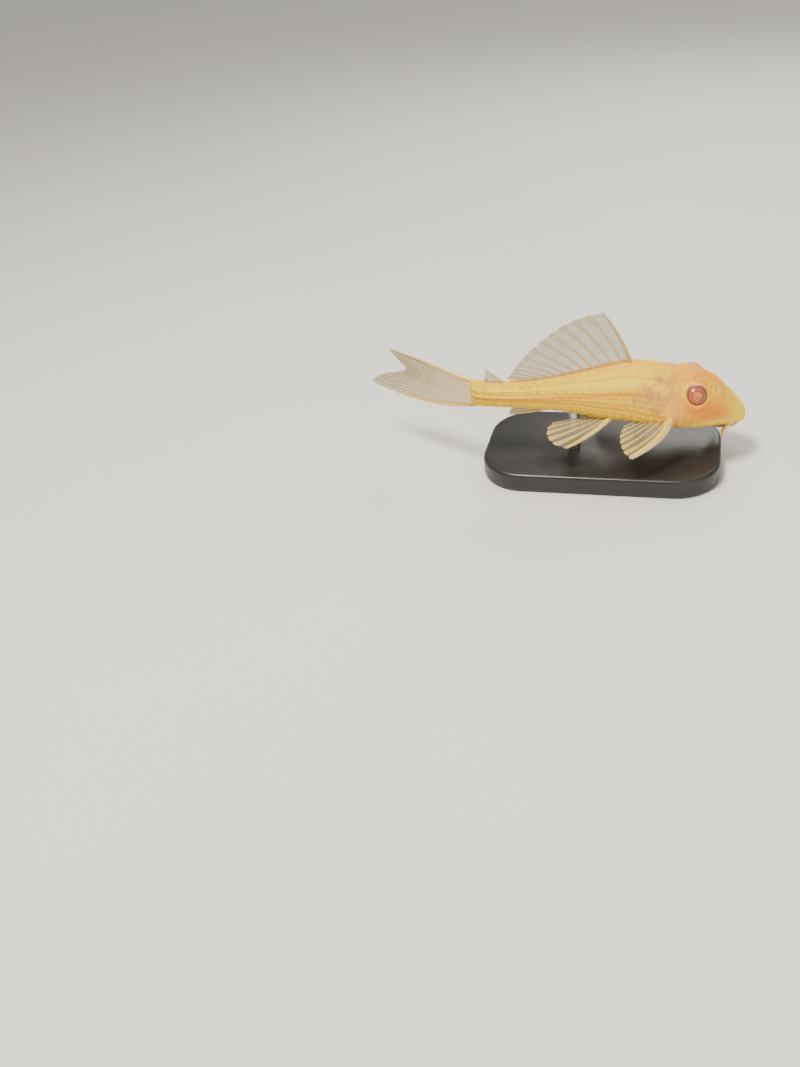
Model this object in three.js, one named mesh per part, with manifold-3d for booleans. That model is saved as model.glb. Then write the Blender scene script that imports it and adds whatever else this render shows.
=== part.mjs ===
// An albino sailfin pleco of about 56 mm without its tail fin, as a still, life-size model.
// Millimetres, +Z up. The fish faces +X with its right side towards -Y, and its stand rests on Z = 0.
// Points are given on a straight fish: s runs from the snout tip towards the tail, y to the fish's
// left and h up from its belly. place() bends them along the curve in which the fish swims.

import * as THREE from 'three';
import { mergeVertices } from 'three/addons/utils/BufferGeometryUtils.js';
import Module from 'manifold-3d';

const wasm = await Module();
wasm.setup();

// Driving dimensions of the body
const BODY_LENGTH = 56;
const HEAD_END = 17;
const PLATES = 23;
const TRUNK_PLATES = 12;
const GAP = 0.3;
const PLATE = (BODY_LENGTH - HEAD_END) / PLATES;
const TRUNK_END = HEAD_END + TRUNK_PLATES * PLATE;

// Outlines along the body as [distance from the snout tip, value]
const BACK = [[0, 3.1], [0.5, 4], [2, 5.3], [5, 7.5], [8, 9.3], [11, 9.95], [14, 10], [18, 10.4],
  [24.5, 11.2], [28, 10.7], [32, 9.9], [37, 9.1], [43, 8.5], [52, 8.1], [56, 8.4]];
const BELLY = [[0, 1.9], [0.7, 1.6], [2, 1.45], [5, 0.8], [8.5, 0.2], [12, 0], [24, 0], [30, 0.2], [38, 1.5],
  [48, 2.5], [56, 2]];
const HALF_WIDTH = [[0, 1.5], [0.5, 2.8], [1.5, 3.7], [3.5, 4.8], [6, 5.9], [9, 7.1], [12, 7.9], [16, 8.4],
  [20, 8.1], [28, 6.1], [37, 3.6], [48, 2.2], [56, 1.4]];
const WIDEST_HEIGHT = [[0, 2.5], [3, 2.8], [8, 3], [15, 3.1], [24, 3.3], [40, 4.5], [56, 5.3]];
const BACK_ROUNDNESS = [[0, 1.9], [6, 1.75], [15, 1.75], [30, 1.8], [56, 2]];
const BELLY_ROUNDNESS = [[0, 2], [6, 2.3], [12, 2.7], [30, 2.7], [42, 2.2], [56, 2]];

// The curve in which the fish swims: headings in degrees along its length
const SNOUT = new THREE.Vector3(40.1, 4.6, 9.8);
const AXIS_HEIGHT = 5;
const BANK = 4;
const HEADING = [[0, 8], [12, 9], [20, 13], [28, 17], [36, 17], [44, 12], [50, 3], [56, -12],
  [62, -24], [70, -28], [86, -30]];
const DIVE = [[0, 14], [8, 13.5], [16, 10], [24, 6], [34, 3], [44, 1.5], [56, 0.5], [86, 0]];

// Plates of the flank: seams between the rows, as parts of the way round the body from the back
const SEAMS = [0, 0.095, 0.185, 0.27, 0.35, 0.425];
const COLUMNS_PER_ROW = 4;
const SEAM_DEPTH = 0.16;
const PLATE_STEP = 0.24;
const PLATE_LIP = 0.12;
const SCALLOP = 0.4;
const HEAD_RINGS = 27;
const SNOUT_CROWDING = 1.15;
const BARE_BELLY = { depth: 0.2, end: 30 };

// Head
const EYE_RADIUS = 2.6;
const EYE_SUNK = 1.5;
const EYE = { s: 11.8, y: 5.2, h: 7.5, rise: 26 };
const ORBIT = { radius: 2.5, rim: 0.26, brow: 0.42, width: 0.55 };
const NOSTRIL = {
  s: 7.7, around: 0.085, radius: 0.5, pit: [1.25, 1, 1], flap: [0.5, 0.9, 0.8], flapBehind: 0.55,
};
const GILL = { s: 15, depth: 0.42, width: 0.55, from: 0.16, to: 0.46, bow: 2.2, rearmost: 0.3 };
const MOUTH = { s: 3.7, length: 3.2, width: 3, lip: 0.75, edge: 0.8, slit: [0.7, 1.9], slitDepth: 0.35 };
const LIP_PROFILE = [[0, 0.35], [0.3, 0.5], [0.6, 1], [0.85, 0.8], [1, 0]];
const LIP_RINGS = [0.16, 0.32, 0.48, 0.64, 0.78, 0.9, 1];
const LIP_SPOKES = 28;
const BARBEL = {
  s: 2, y: 3.4, radius: 0.5, taper: 0.6,
  root: [-0.3, -0.3, 0.8], bend: [3.1, 0.6, -1.6], tip: [1.5, 1.6, -3.1],
};

// Fins: thickness of membrane and rays, then each fin's own sizes
const MEMBRANE = 0.5;
const RAY = 0.85;
const FIN_SPINE = 1.25;
const TIP = 0.35;
const RAY_TIP = 0.5;
const THINNING = 1.5;
const RAY_SHOULDERS = [0, 0.24, 0.76];
const RAY_PIECES = 12;
const ROOT_DEPTH = 1.2;
const PAIRED_ROOT_REACH = 0.12;
const DORSAL = { s: 24.7, spacing: 1.78, rays: 13 };
const DORSAL_ANGLE = [[0, 61], [5, 40], [9, 19], [12, 12]];
const DORSAL_LENGTH = [[0, 12.6], [2, 12.9], [5, 11.1], [8, 8.1], [12, 2.5]];
const DORSAL_SWEEP = 16;
const CAUDAL_RAYS = 16;
const CAUDAL_LENGTH = [[0, 29.5], [3, 25.5], [7, 18.5], [9, 17], [12, 19.3], [15, 21.6]];
const CAUDAL_ANGLE = [[0, -4], [4, 0], [8, 3], [12, 5], [15, 6.5]];
const CAUDAL_FLARE = [-20, 16];
const CAUDAL_INSET = 0.4;
const PECTORAL = {
  root: [[16.8, 7, 3.3], [20.2, 6.2, 2.2]],
  tips: [[26.4, 15.6, -1.1], [27.3, 14.3, -0.9], [27.6, 12.7, -0.6], [27.6, 11.2, -0.3],
    [27.3, 9.7, 0], [26.8, 8.4, 0.4], [26, 7.3, 0.9]],
  bulge: [-4.4, 2.7, 0.2],
  spine: 1.7,
};
const PELVIC = {
  root: [[28.6, 5, 1.5], [31.4, 3, 0.9]],
  tips: [[38, 8.6, -2.7], [40, 7.7, -2.3], [41, 6.4, -1.7], [41.2, 5, -1.1], [40.8, 3.8, -0.6],
    [39.6, 2.8, -0.2]],
  bulge: [-0.9, 1.1, -0.4],
  spine: 1.2,
};
const ANAL = {
  s: 39.8, spacing: 0.8, rays: 5, angle: 8, length: 8.8, shorter: 1.1, spread: 3, sweep: -10, spine: 0.95,
};
const ADIPOSE = {
  s: 49.4, length: 4.6, angle: 42, flatten: 0.2, sweep: 14, membrane: 3.2, parts: [1, 0.62, 0.38, 0.16],
  spine: 0.95,
};

// Display stand
const STAND = { x: 12, y: -1, length: 48, width: 27, corner: 9, height: 4, bevel: 0.6 };
const ROD_RADIUS = 1.2;
const ROD_FRONT = 21;
const ROD_REAR = 35;
const ROD_INTO_BODY = 1.5;

const TURN = 2 * Math.PI;
const radians = THREE.MathUtils.degToRad;

// A smooth curve through [place, value] pairs that never overshoots them
function curve(points) {
  const x = points.map((p) => p[0]);
  const y = points.map((p) => p[1]);
  const rise = x.slice(1).map((end, i) => (y[i + 1] - y[i]) / (end - x[i]));
  const slope = x.map((_, i) => {
    if (i === 0) return rise[0];
    if (i === x.length - 1) return rise[i - 1];
    if (rise[i - 1] * rise[i] <= 0) return 0;
    const before = x[i] - x[i - 1];
    const after = x[i + 1] - x[i];
    const weight = [2 * after + before, after + 2 * before];
    return (weight[0] + weight[1]) / (weight[0] / rise[i - 1] + weight[1] / rise[i]);
  });
  return (at) => {
    let k = 0;
    while (k < x.length - 2 && at > x[k + 1]) k += 1;
    const span = x[k + 1] - x[k];
    const t = THREE.MathUtils.clamp((at - x[k]) / span, 0, 1);
    const rest = 1 - t;
    return rest * rest * (1 + 2 * t) * y[k] + t * rest * rest * span * slope[k]
      + t * t * (3 - 2 * t) * y[k + 1] - t * t * rest * span * slope[k + 1];
  };
}

const back = curve(BACK);
const belly = curve(BELLY);
const halfWidth = curve(HALF_WIDTH);
const widestHeight = curve(WIDEST_HEIGHT);
const backRoundness = curve(BACK_ROUNDNESS);
const bellyRoundness = curve(BELLY_ROUNDNESS);
const heading = curve(HEADING);
const dive = curve(DIVE);

// The swimming curve as frames at small steps along it
const STEP = 0.25;
const CURVE_LENGTH = 90;
const FRAME_COUNT = CURVE_LENGTH / STEP;

function frameAt(s) {
  const a = radians(heading(s));
  const b = radians(dive(s));
  const forward = new THREE.Vector3(Math.cos(a) * Math.cos(b), Math.sin(a) * Math.cos(b), -Math.sin(b));
  const level = new THREE.Vector3(-Math.sin(a), Math.cos(a), 0);
  const top = forward.clone().cross(level);
  const lean = radians(BANK);
  const up = top.clone().multiplyScalar(Math.cos(lean)).addScaledVector(level, -Math.sin(lean));
  const left = level.multiplyScalar(Math.cos(lean)).addScaledVector(top, Math.sin(lean));
  return { forward, left, up };
}

function swimmingCurve() {
  const frames = [];
  for (let i = 0; i <= FRAME_COUNT; i += 1) frames.push(frameAt(i * STEP));
  const start = SNOUT.clone().addScaledVector(frames[0].up, AXIS_HEIGHT - back(0));
  frames[0].origin = start;
  for (let i = 1; i <= FRAME_COUNT; i += 1) {
    const mean = frames[i].forward.clone().add(frames[i - 1].forward).multiplyScalar(0.5);
    frames[i].origin = frames[i - 1].origin.clone().addScaledVector(mean, -STEP);
  }
  return frames;
}

const frames = swimmingCurve();

// A point of the straight fish, bent along the swimming curve
function place(s, y, h) {
  const at = THREE.MathUtils.clamp(s / STEP, 0, FRAME_COUNT - 1e-6);
  const k = Math.floor(at);
  const t = at - k;
  const near = frames[k];
  const next = frames[k + 1];
  const mix = (name) => near[name].clone().lerp(next[name], t);
  return mix('origin')
    .addScaledVector(mix('forward'), at * STEP - s)
    .addScaledVector(mix('left'), y)
    .addScaledVector(mix('up'), h - AXIS_HEIGHT);
}

// Cross-section of the body at s: angle 0 is the back, a quarter turn the left flank
function sectionPoint(s, angle) {
  const c = Math.cos(angle);
  const n = Math.sin(angle);
  const middle = widestHeight(s);
  const power = 2 / (c >= 0 ? backRoundness(s) : bellyRoundness(s));
  const reach = c >= 0 ? back(s) - middle : belly(s) - middle;
  return [halfWidth(s) * Math.sign(n) * Math.abs(n) ** power, middle + reach * Math.abs(c) ** power];
}

// The section measured along its edge: around 0 is the back, 0.5 the belly, 1 the back again
const SAMPLES = 240;
const EDGE_STEP = 0.02;

function section(s) {
  const points = [];
  const length = [0];
  for (let i = 0; i <= SAMPLES; i += 1) points.push(sectionPoint(s, (TURN * i) / SAMPLES));
  for (let i = 1; i <= SAMPLES; i += 1) {
    const dy = points[i][0] - points[i - 1][0];
    const dh = points[i][1] - points[i - 1][1];
    length.push(length[i - 1] + Math.hypot(dy, dh));
  }
  return (around) => {
    const wanted = (around - Math.floor(around)) * length[SAMPLES];
    let k = 0;
    while (k < SAMPLES - 1 && length[k + 1] < wanted) k += 1;
    const t = (wanted - length[k]) / Math.max(length[k + 1] - length[k], 1e-9);
    const angle = (TURN * (k + t)) / SAMPLES;
    const [y, h] = sectionPoint(s, angle);
    const ahead = sectionPoint(s, angle + EDGE_STEP);
    const behind = sectionPoint(s, angle - EDGE_STEP);
    const normal = new THREE.Vector2(behind[1] - ahead[1], ahead[0] - behind[0]).normalize();
    return { y, h, outY: normal.x, outH: normal.y };
  };
}

// A point of the skin, lifted off the body's own surface
function skinPoint(s, around, lift = 0, edge = section(s)) {
  const p = edge(around);
  return place(s, p.y + p.outY * lift, p.h + p.outH * lift);
}

// Columns round the body: four to a row of plates, and the bare belly
function bodyColumns() {
  const side = [];
  for (let row = 0; row < SEAMS.length - 1; row += 1) {
    for (let i = 0; i < COLUMNS_PER_ROW; i += 1) {
      const part = i / COLUMNS_PER_ROW;
      const around = SEAMS[row] + (SEAMS[row + 1] - SEAMS[row]) * part;
      side.push({ around, keel: Math.sin(Math.PI * part), plated: around === 0 ? 0 : 1, bellySide: false });
    }
  }
  const last = SEAMS[SEAMS.length - 1];
  side.push({ around: last, keel: 0, plated: 0.5, bellySide: true });
  side.push({ around: (last + 0.5) / 2, keel: 0, plated: 0, bellySide: true });
  const mirrored = side.slice(1).reverse().map((c) => ({ ...c, around: 1 - c.around }));
  return [...side, { around: 0.5, keel: 0, plated: 0, bellySide: true }, ...mirrored];
}

const columns = bodyColumns();

// A closed geometry from numbered corners, turned so that its faces point out
function closed(positions, triangles) {
  let volume = 0;
  for (const [a, b, c] of triangles) volume += positions[a].dot(positions[b].clone().cross(positions[c]));
  const outward = volume < 0 ? triangles.map(([a, b, c]) => [a, c, b]) : triangles;
  const geometry = new THREE.BufferGeometry();
  const numbers = positions.flatMap((p) => p.toArray());
  geometry.setAttribute('position', new THREE.Float32BufferAttribute(numbers, 3));
  geometry.setIndex(outward.flat());
  return geometry;
}

// A skin over rings of points, with a fan over each end
function loft(rings) {
  const count = rings[0].length;
  const positions = rings.flat();
  const triangles = [];
  for (let i = 0; i < rings.length - 1; i += 1) {
    for (let j = 0; j < count; j += 1) {
      const k = (j + 1) % count;
      const a = i * count;
      const b = a + count;
      triangles.push([a + j, a + k, b + k], [a + j, b + k, b + j]);
    }
  }
  for (const [ring, turned] of [[0, true], [rings.length - 1, false]]) {
    const centre = rings[ring].reduce((sum, p) => sum.add(p), new THREE.Vector3()).divideScalar(count);
    const middle = positions.push(centre) - 1;
    for (let j = 0; j < count; j += 1) {
      const a = ring * count + j;
      const b = ring * count + ((j + 1) % count);
      triangles.push(turned ? [middle, b, a] : [middle, a, b]);
    }
  }
  return closed(positions, triangles);
}

// A thin sheet from a grid of { point, half }, split into triangles alike on both faces
function sheet(grid) {
  const rows = grid.length;
  const width = grid[0].length;
  const within = (i, count) => THREE.MathUtils.clamp(i, 0, count - 1);
  const at = (i, j) => grid[within(i, rows)][within(j, width)].point;
  const faces = [[], []];
  for (let i = 0; i < rows; i += 1) {
    for (let j = 0; j < width; j += 1) {
      const along = at(i + 1, j).clone().sub(at(i - 1, j));
      const across = at(i, j + 1).clone().sub(at(i, j - 1));
      const normal = along.cross(across).normalize().multiplyScalar(grid[i][j].half);
      faces[0].push(grid[i][j].point.clone().add(normal));
      faces[1].push(grid[i][j].point.clone().sub(normal));
    }
  }
  const back0 = rows * width;
  const triangles = [];
  const index = (i, j) => i * width + j;
  for (let i = 0; i < rows - 1; i += 1) {
    for (let j = 0; j < width - 1; j += 1) {
      const [a, b, c, d] = [index(i, j), index(i, j + 1), index(i + 1, j + 1), index(i + 1, j)];
      triangles.push([a, b, c], [a, c, d]);
      triangles.push([back0 + a, back0 + c, back0 + b], [back0 + a, back0 + d, back0 + c]);
    }
  }
  const rim = [];
  for (let j = 0; j < width - 1; j += 1) rim.push(index(0, j));
  for (let i = 0; i < rows - 1; i += 1) rim.push(index(i, width - 1));
  for (let j = width - 1; j > 0; j -= 1) rim.push(index(rows - 1, j));
  for (let i = rows - 1; i > 0; i -= 1) rim.push(index(i, 0));
  rim.forEach((a, k) => {
    const b = rim[(k + 1) % rim.length];
    triangles.push([a, back0 + a, back0 + b], [a, back0 + b, b]);
  });
  return closed([...faces[0], ...faces[1]], triangles);
}

function solidOf(geometry) {
  const bare = geometry.clone();
  bare.deleteAttribute('normal');
  bare.deleteAttribute('uv');
  const merged = mergeVertices(bare, 1e-4);
  const vertProperties = new Float32Array(merged.attributes.position.array);
  const triVerts = new Uint32Array(merged.index.array);
  return new wasm.Manifold(new wasm.Mesh({ numProp: 3, vertProperties, triVerts }));
}

// The largest closed surface of a solid, as a geometry
function geometryOf(solid) {
  const pieces = solid.decompose();
  const largest = pieces.reduce((best, piece) => (piece.volume() > best.volume() ? piece : best));
  const mesh = largest.getMesh();
  const geometry = new THREE.BufferGeometry();
  geometry.setAttribute('position', new THREE.BufferAttribute(new Float32Array(mesh.vertProperties), 3));
  geometry.setIndex(new THREE.BufferAttribute(new Uint32Array(mesh.triVerts), 1));
  return geometry;
}

// The space the body takes with the gap round it, cut away from all that grows on it
const CLEARANCE_STATIONS = 70;

function bodyClearance() {
  const rings = [];
  for (let i = 0; i <= CLEARANCE_STATIONS; i += 1) {
    const s = (BODY_LENGTH * i) / CLEARANCE_STATIONS;
    const edge = section(s);
    rings.push(columns.map((c) => skinPoint(s, c.around, GAP, edge)));
  }
  return solidOf(loft(rings));
}

const clearance = bodyClearance();

function rootedOnBody(geometry) {
  return geometryOf(solidOf(geometry).subtract(clearance));
}

// Head: smooth skin with the rims of the eyes and the line of the gill covers
function eyeCentre(side, sunk) {
  const rise = radians(EYE.rise);
  return place(EYE.s, side * (EYE.y - sunk * Math.cos(rise)), EYE.h - sunk * Math.sin(rise));
}

function headRelief(s, around, point) {
  const side = around < 0.5 ? 1 : -1;
  const fromBack = Math.min(around, 1 - around);
  const eye = eyeCentre(side, 0);
  const reach = point.distanceTo(eye);
  const above = THREE.MathUtils.clamp((point.z - eye.z) / ORBIT.radius, 0, 1);
  const rise = ORBIT.rim + ORBIT.brow * above;
  const rim = rise * Math.exp(-(((reach - ORBIT.radius) / ORBIT.width) ** 2));
  const along = (fromBack - GILL.from) / (GILL.to - GILL.from);
  const onGill = along > 0 && along < 1 ? Math.sqrt(Math.sin(Math.PI * along)) : 0;
  const gillLine = GILL.s - GILL.bow * (along - GILL.rearmost) ** 2;
  const groove = GILL.depth * onGill * Math.exp(-(((s - gillLine) / GILL.width) ** 2));
  return rim - groove;
}

function headSkin() {
  const rings = [];
  for (let i = 0; i <= HEAD_RINGS; i += 1) {
    const s = (HEAD_END - GAP / 2) * (i / HEAD_RINGS) ** SNOUT_CROWDING;
    const edge = section(s);
    rings.push(columns.map(({ around }) => {
      const lift = headRelief(s, around, skinPoint(s, around, 0, edge));
      return skinPoint(s, around, lift, edge);
    }));
  }
  return loft(rings);
}

function ball(centre, radius, scale = [1, 1, 1], detail = 12) {
  const geometry = new THREE.SphereGeometry(radius, detail, Math.round(detail * 0.7));
  return geometry.scale(...scale).translate(...centre.toArray());
}

function nostrilParts(side) {
  const around = side > 0 ? NOSTRIL.around : 1 - NOSTRIL.around;
  const pit = ball(skinPoint(NOSTRIL.s, around, 0.1), NOSTRIL.radius, NOSTRIL.pit, 8);
  const flap = ball(skinPoint(NOSTRIL.s + NOSTRIL.flapBehind, around), NOSTRIL.radius, NOSTRIL.flap, 8);
  return { pit, flap };
}

function headGeometry() {
  let head = solidOf(headSkin());
  for (const side of [1, -1]) {
    const { pit, flap } = nostrilParts(side);
    head = head.subtract(solidOf(pit)).add(solidOf(flap));
    head = head.subtract(solidOf(ball(eyeCentre(side, EYE_SUNK), EYE_RADIUS + GAP, [1, 1, 1], 16)));
  }
  return geometryOf(head);
}

// Suckermouth: a lip disc under the snout with the mouth as a cross slit in its middle
function underside(s, y) {
  const roundness = bellyRoundness(s);
  const across = Math.min(Math.abs(y) / halfWidth(s), 0.999);
  const middle = widestHeight(s);
  return middle - (middle - belly(s)) * (1 - across ** roundness) ** (1 / roundness);
}

function mouthGeometry() {
  const profile = curve(LIP_PROFILE);
  const positions = [];
  const layer = (deep) => {
    const point = (r, angle) => {
      const s = MOUTH.s + MOUTH.length * r * Math.cos(angle);
      const y = MOUTH.width * r * Math.sin(angle);
      const slit = Math.exp(-(((s - MOUTH.s) / MOUTH.slit[0]) ** 2) - (y / MOUTH.slit[1]) ** 2);
      const thick = MOUTH.edge + MOUTH.lip * (profile(r) - MOUTH.slitDepth * slit);
      return place(s, y, underside(s, y) - GAP - (deep ? thick : 0));
    };
    positions.push(point(0, 0));
    for (const r of LIP_RINGS) {
      for (let j = 0; j < LIP_SPOKES; j += 1) positions.push(point(r, (TURN * j) / LIP_SPOKES));
    }
  };
  layer(false);
  layer(true);
  const size = 1 + LIP_RINGS.length * LIP_SPOKES;
  const triangles = [];
  for (let k = 0; k < 2; k += 1) {
    const base = k * size;
    const push = (a, b, c) => triangles.push(k === 0 ? [a, b, c] : [a, c, b]);
    for (let j = 0; j < LIP_SPOKES; j += 1) {
      const n = (j + 1) % LIP_SPOKES;
      push(base, base + 1 + j, base + 1 + n);
      for (let i = 0; i < LIP_RINGS.length - 1; i += 1) {
        const a = base + 1 + i * LIP_SPOKES;
        const b = a + LIP_SPOKES;
        push(a + j, b + j, b + n);
        push(a + j, b + n, a + n);
      }
    }
  }
  const outer = 1 + (LIP_RINGS.length - 1) * LIP_SPOKES;
  for (let j = 0; j < LIP_SPOKES; j += 1) {
    const n = (j + 1) % LIP_SPOKES;
    triangles.push([outer + j, size + outer + j, size + outer + n], [outer + j, size + outer + n, outer + n]);
  }
  return closed(positions, triangles);
}

// A tapered round feeler along a bent line
function barbelGeometry(side) {
  const foot = underside(BARBEL.s, BARBEL.y);
  const point = ([s, y, h]) => place(BARBEL.s + s, side * (BARBEL.y + y), foot + h);
  const line = new THREE.QuadraticBezierCurve3(point(BARBEL.root), point(BARBEL.bend), point(BARBEL.tip));
  const rings = [];
  const steps = 6;
  const corners = 8;
  for (let i = 0; i <= steps; i += 1) {
    const centre = line.getPoint(i / steps);
    const tangent = line.getTangent(i / steps);
    const across = tangent.clone().cross(new THREE.Vector3(1, 0, 0)).normalize();
    const other = tangent.clone().cross(across).normalize();
    const radius = BARBEL.radius * (1 - BARBEL.taper * (i / steps) ** 2);
    rings.push(Array.from({ length: corners }, (_, j) => centre.clone()
      .addScaledVector(across, radius * Math.cos((TURN * j) / corners))
      .addScaledVector(other, radius * Math.sin((TURN * j) / corners))));
  }
  return rootedOnBody(loft(rings));
}

// Trunk and tail: plates that rise to a keel in the middle of each row and step down behind
function platedGeometry(from, to, firstPlate, lastPlate) {
  const rings = [];
  const ring = (s, step, wave) => {
    rings.push(columns.map(({ around, keel, plated, bellySide }) => {
      const at = THREE.MathUtils.clamp(s + wave * plated * (keel - 0.5) * SCALLOP * 2, from, to);
      const bare = bellySide && at < BARE_BELLY.end ? BARE_BELLY.depth : 0;
      const lift = -plated * (step + SEAM_DEPTH * (1 - keel)) - bare;
      return skinPoint(at, around, lift);
    }));
  };
  for (let k = firstPlate; k < lastPlate; k += 1) {
    const first = k === firstPlate;
    const last = k === lastPlate - 1;
    const start = HEAD_END + k * PLATE;
    ring(first ? from : start + PLATE_LIP, PLATE_STEP, first ? 0 : 1);
    ring(last ? to : start + PLATE, 0, last ? 0 : 1);
  }
  return loft(rings);
}

// A fin from its rays, each a function from 0 at the root to 1 at the tip
function finGrid(rays, options = {}) {
  const { steps = 7, notch = 0.03, spines = [0], spine = FIN_SPINE, rootThickness = RAY } = options;
  const grid = [];
  for (let i = 0; i <= steps; i += 1) {
    const row = [];
    const v = i / steps;
    const full = (ray) => (spines.includes(ray) ? spine : rootThickness);
    for (let ray = 0; ray < rays.length; ray += 1) {
      for (const part of ray === rays.length - 1 ? [0] : RAY_SHOULDERS) {
        const onRay = part === 0;
        const reach = v * (1 - notch * (onRay ? 0 : 1) * v);
        const point = rays[ray](reach);
        if (!onRay) point.lerp(rays[ray + 1](reach), part);
        const root = onRay ? full(ray) : MEMBRANE;
        const end = onRay ? RAY_TIP : TIP;
        row.push({ point, half: THREE.MathUtils.lerp(root, end, v ** THINNING) / 2 });
      }
    }
    grid.push(row);
  }
  return grid;
}

// A ray along the midline of the body that leaves it at an angle and bends tailwards
function midlineRay(s, h, angle, length, sweep, depth) {
  const pieces = RAY_PIECES;
  const points = [];
  let at = s - depth * Math.cos(angle);
  let height = h - depth * Math.sin(angle);
  points.push(new THREE.Vector2(at, height));
  for (let i = 0; i < pieces; i += 1) {
    const lean = angle + sweep * (0.5 - (i + 0.5) / pieces);
    at += (Math.cos(lean) * (length + depth)) / pieces;
    height += (Math.sin(lean) * (length + depth)) / pieces;
    points.push(new THREE.Vector2(at, height));
  }
  return (v) => {
    const k = Math.min(Math.floor(v * pieces), pieces - 1);
    const p = points[k].clone().lerp(points[k + 1], v * pieces - k);
    return place(p.x, 0, p.y);
  };
}

function dorsalGeometry() {
  const angle = curve(DORSAL_ANGLE);
  const length = curve(DORSAL_LENGTH);
  const rays = [];
  for (let i = 0; i < DORSAL.rays; i += 1) {
    const s = DORSAL.s + i * DORSAL.spacing;
    rays.push(midlineRay(s, back(s), radians(angle(i)), length(i), radians(DORSAL_SWEEP), ROOT_DEPTH));
  }
  return rootedOnBody(sheet(finGrid(rays, { steps: 8 })));
}

function caudalGeometry() {
  const length = curve(CAUDAL_LENGTH);
  const angle = curve(CAUDAL_ANGLE);
  const low = belly(BODY_LENGTH) + CAUDAL_INSET;
  const high = back(BODY_LENGTH) - CAUDAL_INSET;
  const rays = [];
  for (let i = 0; i < CAUDAL_RAYS; i += 1) {
    const h = low + ((high - low) * i) / (CAUDAL_RAYS - 1);
    const lean = radians(angle(i));
    const flare = radians(THREE.MathUtils.lerp(...CAUDAL_FLARE, i / (CAUDAL_RAYS - 1)));
    rays.push(midlineRay(BODY_LENGTH + GAP, h, lean, length(i), flare, 0));
  }
  const edges = [0, CAUDAL_RAYS - 1];
  return sheet(finGrid(rays, { steps: 9, notch: 0.02, spines: edges }));
}

function analGeometry() {
  const rays = [];
  for (let i = 0; i < ANAL.rays; i += 1) {
    const s = ANAL.s + i * ANAL.spacing;
    const angle = radians(i * ANAL.spread - ANAL.angle);
    const length = ANAL.length - i * ANAL.shorter;
    rays.push(midlineRay(s, belly(s), angle, length, radians(ANAL.sweep), ROOT_DEPTH));
  }
  return rootedOnBody(sheet(finGrid(rays, { steps: 6, spine: ANAL.spine })));
}

function adiposeGeometry() {
  const { s, length, angle, flatten, sweep, membrane, parts, spine } = ADIPOSE;
  const rays = parts.map((part, i) => {
    const at = s + (membrane * i) / (parts.length - 1);
    const lean = radians(angle * (1 - flatten * i));
    return midlineRay(at, back(at), lean, length * part, radians(sweep), ROOT_DEPTH);
  });
  return rootedOnBody(sheet(finGrid(rays, { steps: 5, notch: 0, spine, rootThickness: MEMBRANE })));
}

// A paired fin: rays fan from the root line to the tips, bowed outward and forward
function pairedGeometry(fin, side) {
  const count = fin.tips.length;
  const rays = fin.tips.map((tip, i) => {
    const t = i / (count - 1);
    const root = fin.root[0].map((value, k) => THREE.MathUtils.lerp(value, fin.root[1][k], t));
    const bow = fin.bulge.map((value) => value * (1 - t) ** 2);
    const inward = root.map((value, k) => value - PAIRED_ROOT_REACH * (tip[k] - value));
    return (v) => {
      const p = inward.map((value, k) => {
        const middle = (value + tip[k]) / 2 + bow[k];
        return (1 - v) ** 2 * value + 2 * v * (1 - v) * middle + v * v * tip[k];
      });
      return place(p[0], side * p[1], p[2]);
    };
  });
  return rootedOnBody(sheet(finGrid(rays, { steps: 7, notch: 0.04, spine: fin.spine })));
}

// Display stand
function standBase() {
  const { length, width, corner, height, bevel } = STAND;
  const x = length / 2 - bevel;
  const y = width / 2 - bevel;
  const r = corner - bevel;
  const outline = new THREE.Shape();
  outline.moveTo(-x + r, -y);
  outline.lineTo(x - r, -y);
  outline.absarc(x - r, -y + r, r, -Math.PI / 2, 0);
  outline.lineTo(x, y - r);
  outline.absarc(x - r, y - r, r, 0, Math.PI / 2);
  outline.lineTo(-x + r, y);
  outline.absarc(-x + r, y - r, r, Math.PI / 2, Math.PI);
  outline.lineTo(-x, -y + r);
  outline.absarc(-x + r, -y + r, r, Math.PI, 1.5 * Math.PI);
  const geometry = new THREE.ExtrudeGeometry(outline, {
    depth: height - 2 * bevel, bevelEnabled: true, bevelThickness: bevel, bevelSize: bevel,
    bevelSegments: 1, curveSegments: 6,
  });
  return geometry.translate(STAND.x, STAND.y, bevel);
}

function rodGeometry(s) {
  const foot = place(s, 0, belly(s));
  const low = STAND.height + GAP;
  const high = foot.z + ROD_INTO_BODY;
  const rod = new THREE.CylinderGeometry(ROD_RADIUS, ROD_RADIUS, high - low, 16);
  rod.rotateX(Math.PI / 2).translate(foot.x, foot.y, (low + high) / 2);
  return rootedOnBody(rod);
}

// Materials
function finish(color, roughness, metalness = 0) {
  return new THREE.MeshStandardMaterial({ color, roughness, metalness });
}

const skin = finish(0xe8c68a, 0.45);
const headSkinTone = finish(0xe9bf94, 0.42);
const lips = finish(0xdcb56a, 0.5);
const fin = finish(0xd9d0ae, 0.4);
const eyeball = finish(0xa8553a, 0.15);
const acrylic = finish(0x2b2b2b, 0.3);
const steel = finish(0xb9bcc0, 0.3, 1);

const pleco = new THREE.Group();

function add(name, geometry, material) {
  const mesh = new THREE.Mesh(geometry, material);
  mesh.name = name;
  pleco.add(mesh);
}

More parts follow.
